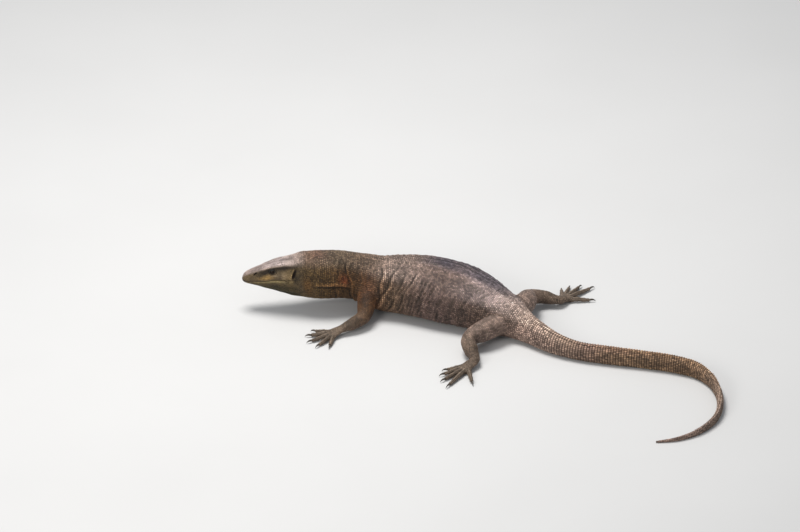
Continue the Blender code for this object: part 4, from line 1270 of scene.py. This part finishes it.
def make_head_scales(body, tree):
    """Uneven shields on the head, wide ones over the eyes, plates on the lips and beads on the lids."""
    coat = Coat("head_scales", "head_skin", tree)

    def tone_at(rows, spot):
        speckle = 0.24 * ramp(rows[:, :1], 0.070, 0.098) * rng.normal(size=(len(rows), 1))
        return body_tone(rows[:, 0], rows[:, 1], spot) * np.exp(speckle)

    def row_pitch(s):
        return 0.00185 - 0.0003 * (s < 0.02)

    own = body.along < HEAD_END + 0.005
    head_only = Tube(body.rings[own], body.along[own], COAT_PATCH, body.lift[own])
    for sign in (1, -1):
        s = np.arange(*BROW_ROW)
        column = np.interp(BROW_TURN, HALF_TURN, np.arange(SIDE_POINTS + 1))
        column = column if sign > 0 else len(TURN) - column
        shields = scale_rows(s, column, BROW_ROW[2], BROW_WIDE)
        coat.add(head_only, shields, "brow", HEIGHTS["brow"], tone_at, COAT_PATCH)
        for down, wide, start in LIP_ROWS:
            s = np.arange(start, MOUTH_CORNER, LIP_PITCH)
            column = [lip_column(body, place, sign, down) for place in s]
            plates = scale_rows(s, column, LIP_PITCH, wide)
            coat.add(head_only, plates, "plate", HEIGHTS["lip"], tone_at, COAT_PATCH)
        add_lid_beads(coat, sign, head_only, tone_at)
    taken = tree_of(np.concatenate(coat.roots()))
    rows = rows_on(body, 0.0012, HEAD_END + 0.001, row_pitch, face_spacing, step=1, jitter=0.20)
    turn = abs(turn_at(rows[:, 1]))
    beside = (rows[:, 0] > BROW_ROW[0] - 0.001) & (rows[:, 0] < BROW_ROW[1] + 0.001)
    over_eye = (abs(turn - BROW_TURN) < 0.50) & beside
    rows = rows[~lip_band(body, rows) & ~over_eye]
    coat.add(head_only, rows, "shield", HEIGHTS["head"], tone_at, COAT_PATCH,
             keep=clear_of_openings, taken=taken)
    return coat


def add_lid_beads(coat, side, tube, tone_at):
    """Rings of beads round the lids, small at the edge and larger outward."""
    middle, ahead, up, out = eye_frame(side)
    wide, high = LID_OPEN
    for measure, count in LID_BEADS:
        angle = (np.arange(count) + 0.5 * (measure > 1.4)) / count * 2 * math.pi
        x = np.cos(angle) * wide * measure
        z = np.sin(angle) * high * measure * 0.94 - LID_LEAN * x
        places = middle + out * EYE_RADIUS + ahead * x[:, None] + up * z[:, None]
        size = 2 * math.pi * measure * (wide + high) / 2 / count
        rows = scale_rows(*tube.nearest(places), size, size)
        coat.add(tube, rows, "granule", HEIGHTS["lid"], tone_at, COAT_PATCH)


def make_body_scales(body, tree):
    """Rounded pebbles in staggered rows from nape to hips, and keeled plates in rings on the tail."""
    made = []

    def tone_at(rows, spot):
        return body_tone(rows[:, 0], rows[:, 1], spot)

    def pitch(s):
        return float(table_at(PEBBLES, s))

    def spacing(s, column):
        return np.full(len(column), table_at(PEBBLES, s, 2))

    first, last = HEAD_END + 0.0020, RINGS_FROM - 0.001
    rows = rows_on(body, first, last, pitch, spacing, step=8, jitter=0.075, wobble=0.0020)
    for name, first, last in BODY_COATS:
        coat = Coat(name, "skin", tree)
        own = rows[(rows[:, 0] >= first) & (rows[:, 0] < last)]
        coat.add(body, own, "pebble", HEIGHTS["body"], tone_at, COAT_PATCH, vary=0.36)
        made.append(coat)
    coat = Coat("tail_scales", "tail_skin", tree)

    def ring_pitch(s):
        return float(table_at(RING_PITCH, s))

    def plate_spacing(s, column):
        return np.full(len(column), table_at(RING_SPACING, s))

    first, last = RINGS_FROM + 0.0015, BODY_LENGTH - 0.003
    rows = rows_on(body, first, last, ring_pitch, plate_spacing, brick=False, step=4, jitter=0.02)
    crest = abs(abs(turn_at(rows[:, 1])) - 10 * CREST_SHARE) < 0.45
    coat.add(body, rows[~crest], "keeled", HEIGHTS["tail"], tone_at, COAT_PATCH, vary=0.38)
    coat.add(body, rows[crest], "crest", HEIGHTS["crest"], tone_at, COAT_PATCH, vary=0.35)
    return made + [coat]


def toe_rows(toe):
    """Rows of one wide plate on top of a toe and small ones round it."""
    found = []
    for s in np.arange(0.004, toe.along[-1] * 0.97, TOE_PITCH):
        arcs = toe.arcs_at(s)
        column = arcs[-1] / toe.rings.shape[1]
        for off, wide in TOE_PLACES:
            found.append((s, toe.rings.shape[1] / 4 + off, TOE_PITCH, wide * column))
    return np.array(found)


def make_leg_scales(legs, tree, taken):
    """Smaller pebbles on the legs and feet, and rows of plates on the toes."""
    made = []
    for word, numbers in (("front_leg_scales", (0, 1)), ("hind_leg_scales", (2, 3))):
        coat = Coat(word, "skin", tree)
        for order, number in enumerate(numbers):
            leg, toes, _ = legs[number]
            low = 0.02 + 0.49 * order
            patch = (low, 0.02, low + 0.44, 0.60)

            def tone_at(rows, spot, leg=leg, word=word):
                return leg_tone(word, rows[:, 0] / leg.along[-1], spot)

            def toe_tone(rows, spot):
                return leg_tone("toe", np.ones(len(rows)), spot)

            def pitch(s, leg=leg):
                return float(LEG_PITCH - LEG_THINNER * ramp(s / leg.along[-1], 0.5, 0.85))

            def spacing(s, column, leg=leg):
                return np.full(len(column), LEG_SPACING - LEG_THINNER * ramp(s / leg.along[-1], 0.5, 0.85))

            rows = rows_on(leg, 0.010, leg.along[-1] - 0.003, pitch, spacing, step=2, jitter=0.05)
            spots = coat.add(leg, rows, "pebble", HEIGHTS["leg"], tone_at, patch, vary=0.28, taken=taken)
            for k, toe in enumerate(toes):
                own = (low + 0.09 * k, 0.65, low + 0.09 * k + 0.07, 0.98)
                rows, close = toe_rows(toe), tree_of(spots)
                more = coat.add(toe, rows, "band", HEIGHTS["toe"], toe_tone, own, reach=0.0032, taken=close)
                spots = np.concatenate([spots, more])
        made.append(coat)
    return made


def make_eye(name, side):
    """An eyeball with a domed cornea, a black round pupil, a thin golden ring and a dark brown iris."""
    middle, ahead, up, out = eye_frame(side)
    fall = np.concatenate([np.linspace(0.02, 1.0, 40), np.linspace(1.05, math.pi - 0.05, 24)])
    angle = np.linspace(0, 2 * math.pi, 64, endpoint=False)
    cornea = 0.00022 * (1 - ramp(fall, 0.25, 0.62))
    radius = (EYE_RADIUS + cornea)[:, None]
    rings = middle + (radius * np.cos(fall)[:, None])[:, :, None] * out
    rings = rings + (radius * np.sin(fall)[:, None] * np.cos(angle))[:, :, None] * ahead
    rings = rings + (radius * np.sin(fall)[:, None] * np.sin(angle))[:, :, None] * up
    points, faces, _ = Tube(rings, fall, INSIDE_PATCH).mesh_parts()
    off = unit(points - middle)
    turn = np.arccos(np.clip(off @ out, -1, 1))
    spokes = np.sin(np.arctan2(off @ up, off @ ahead) * 26 + 3 * np.sin(turn * 30))
    shade = (1 + 0.35 * spokes) * (1 - 0.5 * ramp(turn, 0.42, 0.62))
    iris = np.array(IRIS_TONE) * shade[:, None]
    tone = blend(iris, np.array(IRIS_RING_TONE), bell(turn, *IRIS_RING)[:, None])
    tone = blend(tone, PUPIL_TONE, (1 - ramp(turn, *PUPIL_EDGE))[:, None])
    tone = blend(tone, np.array(EYE_RIM_TONE), ramp(turn, *EYE_RIM)[:, None])
    return add_mesh(name, points, faces, None, tone)


def make_claws(legs):
    """Every claw: narrow, deeper than wide, hooked down to the floor, and dark with a paler root."""
    points, faces, tones, start = [], [], [], 0
    for _, _, claws in legs:
        for tip, heading, way, length in claws:
            ahead = np.array([math.cos(heading), math.sin(heading), 0.0])
            path = [tip + ahead * length * part + (0, 0, rise) for part, rise in CLAW_LINE]
            sizes = np.array(CLAW_SIZES) * CLAW_RADIUS
            rings, _, s = limb_rings(path, sizes, np.linspace(0, 3, 26), turns=20)
            middle = rings.mean(axis=1, keepdims=True)
            under = np.clip(-(rings - middle)[:, :, 2] / CLAW_RADIUS, 0, 1)
            off = rings - middle
            off[:, :, :2] *= (1 - 0.35 * under)[:, :, None]
            rings = middle + off
            rings[:, :, 2] = np.maximum(rings[:, :, 2], 0.0)
            own, polygons, _ = Tube(rings, s, INSIDE_PATCH).mesh_parts()
            share = np.append(np.repeat(s / s[-1], 20), [0, 1])
            shade = (1.9 - 1.2 * share) * (1 + 0.15 * noise(own, 0.0012, 31))
            points.append(own)
            faces += [f + start for f in polygons]
            tones.append(np.array(CLAW_TONE) * shade[:, None])
            start += len(own)
    return add_mesh("claws", np.concatenate(points), faces, None, np.concatenate(tones))


def add_node(tree, kind, x, y, **values):
    node = tree.nodes.new(kind)
    node.location = (x, y)
    for key, value in values.items():
        if key in node.inputs:
            node.inputs[key].default_value = value
        else:
            setattr(node, key, value)
    return node


def add_range(tree, x, y, source, target):
    """A node that carries the range of source over to that of target."""
    node = add_node(tree, "ShaderNodeMapRange", x, y)
    values = (*source, *target)
    for socket, value in zip(("From Min", "From Max", "To Min", "To Max"), values):
        node.inputs[socket].default_value = value
    return node


def surface(name):
    """The material of this look: the stored colour, mottled finely, with uneven gloss and a fine grain."""
    rough, grain, grain_depth, spread, specular = LOOKS[name]
    made = bpy.data.materials.new(name)
    made.use_nodes = True
    tree = made.node_tree
    shader = tree.nodes["Principled BSDF"]
    shader.inputs["Specular IOR Level"].default_value = specular
    link = tree.links.new
    tone = add_node(tree, "ShaderNodeVertexColor", -900, 300, layer_name="tone")
    where = add_node(tree, "ShaderNodeTexCoord", -1300, 0)
    fine = add_node(tree, "ShaderNodeTexNoise", -1000, 60, Scale=900.0, Detail=4.0, Roughness=0.6)
    wide = add_node(tree, "ShaderNodeTexNoise", -1000, -160, Scale=140.0, Detail=3.0, Roughness=0.55)
    cells = add_node(tree, "ShaderNodeTexVoronoi", -1000, -400, Scale=grain)
    for node in (fine, wide, cells):
        link(where.outputs["Object"], node.inputs["Vector"])
    vary = add_range(tree, -760, 60, (0.3, 0.7), (1 - spread, 1 + spread))
    link(fine.outputs["Fac"], vary.inputs["Value"])
    shaded = add_node(tree, "ShaderNodeVectorMath", -560, 260, operation="SCALE")
    link(tone.outputs["Color"], shaded.inputs[0])
    link(vary.outputs["Result"], shaded.inputs["Scale"])
    link(shaded.outputs[0], shader.inputs["Base Color"])
    gloss = add_range(tree, -560, -60, (0.3, 0.7), (rough - 0.10, rough + 0.10))
    link(wide.outputs["Fac"], gloss.inputs["Value"])
    link(gloss.outputs["Result"], shader.inputs["Roughness"])
    heights = add_node(tree, "ShaderNodeMath", -560, -300, operation="MULTIPLY_ADD")
    heights.inputs[1].default_value = -1.0
    link(cells.outputs["Distance"], heights.inputs[0])
    link(fine.outputs["Fac"], heights.inputs[2])
    bump = add_node(tree, "ShaderNodeBump", -300, -300, Strength=0.8, Distance=grain_depth)
    link(heights.outputs[0], bump.inputs["Height"])
    link(bump.outputs["Normal"], shader.inputs["Normal"])
    return made


def dress(obj, material, slot, *nodes):
    """Gives a piece its material, shifts it to the solids' place, hangs it from the root and hides the
    solids it stands for.
    """
    obj.data.materials.clear()
    obj.data.materials.append(material)
    obj.data.transform(SHIFT)
    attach(obj, "root")
    if nodes:
        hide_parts(*nodes)


def frame_shift():
    """The way from this script's layout to the solids' place, from the left eye, which both have."""
    low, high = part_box("eye_left")
    own = Vector((SNOUT_X + EYE_PLACE[0], HEAD_Y - EYE_PLACE[1], EYE_PLACE[2]))
    move = (low + high) / 2 - own
    move.z = 0
    return Matrix.Translation(move)


SHIFT = frame_shift()


def make_stage():
    """A plain pale floor, soft studio light and the camera at the photograph's angle."""
    half, low = FLOOR_HALF, -FLOOR_SUNK
    corners = [(-half, -half, low), (half, -half, low), (half, half, low), (-half, half, low)]
    floor = add_mesh("floor", corners, [np.array([[0, 1, 2, 3]])])
    pale = bpy.data.materials.new("floor")
    pale.use_nodes = True
    tree = pale.node_tree
    shader = tree.nodes["Principled BSDF"]
    shader.inputs["Roughness"].default_value = 0.7
    grain = add_node(tree, "ShaderNodeTexNoise", -600, 0, Scale=60.0, Detail=4.0)
    colour = add_range(tree, -400, 0, (0.0, 1.0), FLOOR_TONES)
    tree.links.new(grain.outputs["Fac"], colour.inputs["Value"])
    tree.links.new(colour.outputs["Result"], shader.inputs["Base Color"])
    floor.data.materials.append(pale)
    world = bpy.data.worlds.new("studio")
    world.use_nodes = True
    world.node_tree.nodes["Background"].inputs["Color"].default_value = SKY_TONE
    world.node_tree.nodes["Background"].inputs["Strength"].default_value = SKY_STRENGTH
    bpy.context.scene.view_settings.view_transform = "Standard"
    bpy.context.scene.world = world
    for name, place, power, size, tint in LIGHTS:
        light = bpy.data.lights.new(name, "AREA")
        light.energy = power
        light.size = size
        light.color = tint
        lamp = bpy.data.objects.new(name, light)
        lamp.location = place
        lamp.rotation_euler = (Vector((0, 0, 0.03)) - Vector(place)).to_track_quat("-Z", "Y").to_euler()
        bpy.context.scene.collection.objects.link(lamp)
    camera = bpy.data.cameras.new("camera")
    camera.lens = LENS
    camera.sensor_width = SENSOR
    camera.sensor_fit = "HORIZONTAL"
    far = LENS / SENSOR * PHOTO_WIDTH * PIXEL
    camera.clip_end = far * 3
    seat = bpy.data.objects.new("camera", camera)
    back = Vector((0, -math.cos(CAMERA_RISE), math.sin(CAMERA_RISE)))
    seat.location = SHIFT @ Vector(AIM) + back * far
    seat.rotation_euler = (-back).to_track_quat("-Z", "Y").to_euler()
    bpy.context.scene.collection.objects.link(seat)
    bpy.context.scene.camera = seat


def main():
    body = body_tube()
    legs = [leg_tubes(number, word) for number, word in enumerate(LIMBS)]
    skin = make_skin(body, legs)
    tree = BVHTree.FromObject(skin, bpy.context.evaluated_depsgraph_get())
    coats = [make_head_scales(body, tree)] + make_body_scales(body, tree)
    taken = tree_of(np.concatenate([part for coat in coats for part in coat.roots()]))
    coats += make_leg_scales(legs, tree, taken)
    roots = np.concatenate([part for coat in coats for part in coat.roots()] + [head_fence(body)])
    neighbours = tree_of(roots)
    claws = make_claws(legs)
    flesh = [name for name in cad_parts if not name.startswith(("claw", "eye"))]
    claw_nodes = [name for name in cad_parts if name.startswith("claw")]
    scale_look = surface("scale")
    dress(skin, surface("hide"), "skin", *sorted(flesh))
    head_look = surface("head_scale")
    for coat in coats:
        look = head_look if coat.slot == "head_skin" else scale_look
        dress(coat.finish(neighbours, roots), look, coat.slot)
    eye_look = surface("eye")
    for name, side in (("left_eye", 1), ("right_eye", -1)):
        dress(make_eye(name, side), eye_look, "eye", "eye_left" if side > 0 else "eye_right")
    dress(claws, surface("claw"), "claw", *sorted(claw_nodes))
    make_stage()


main()
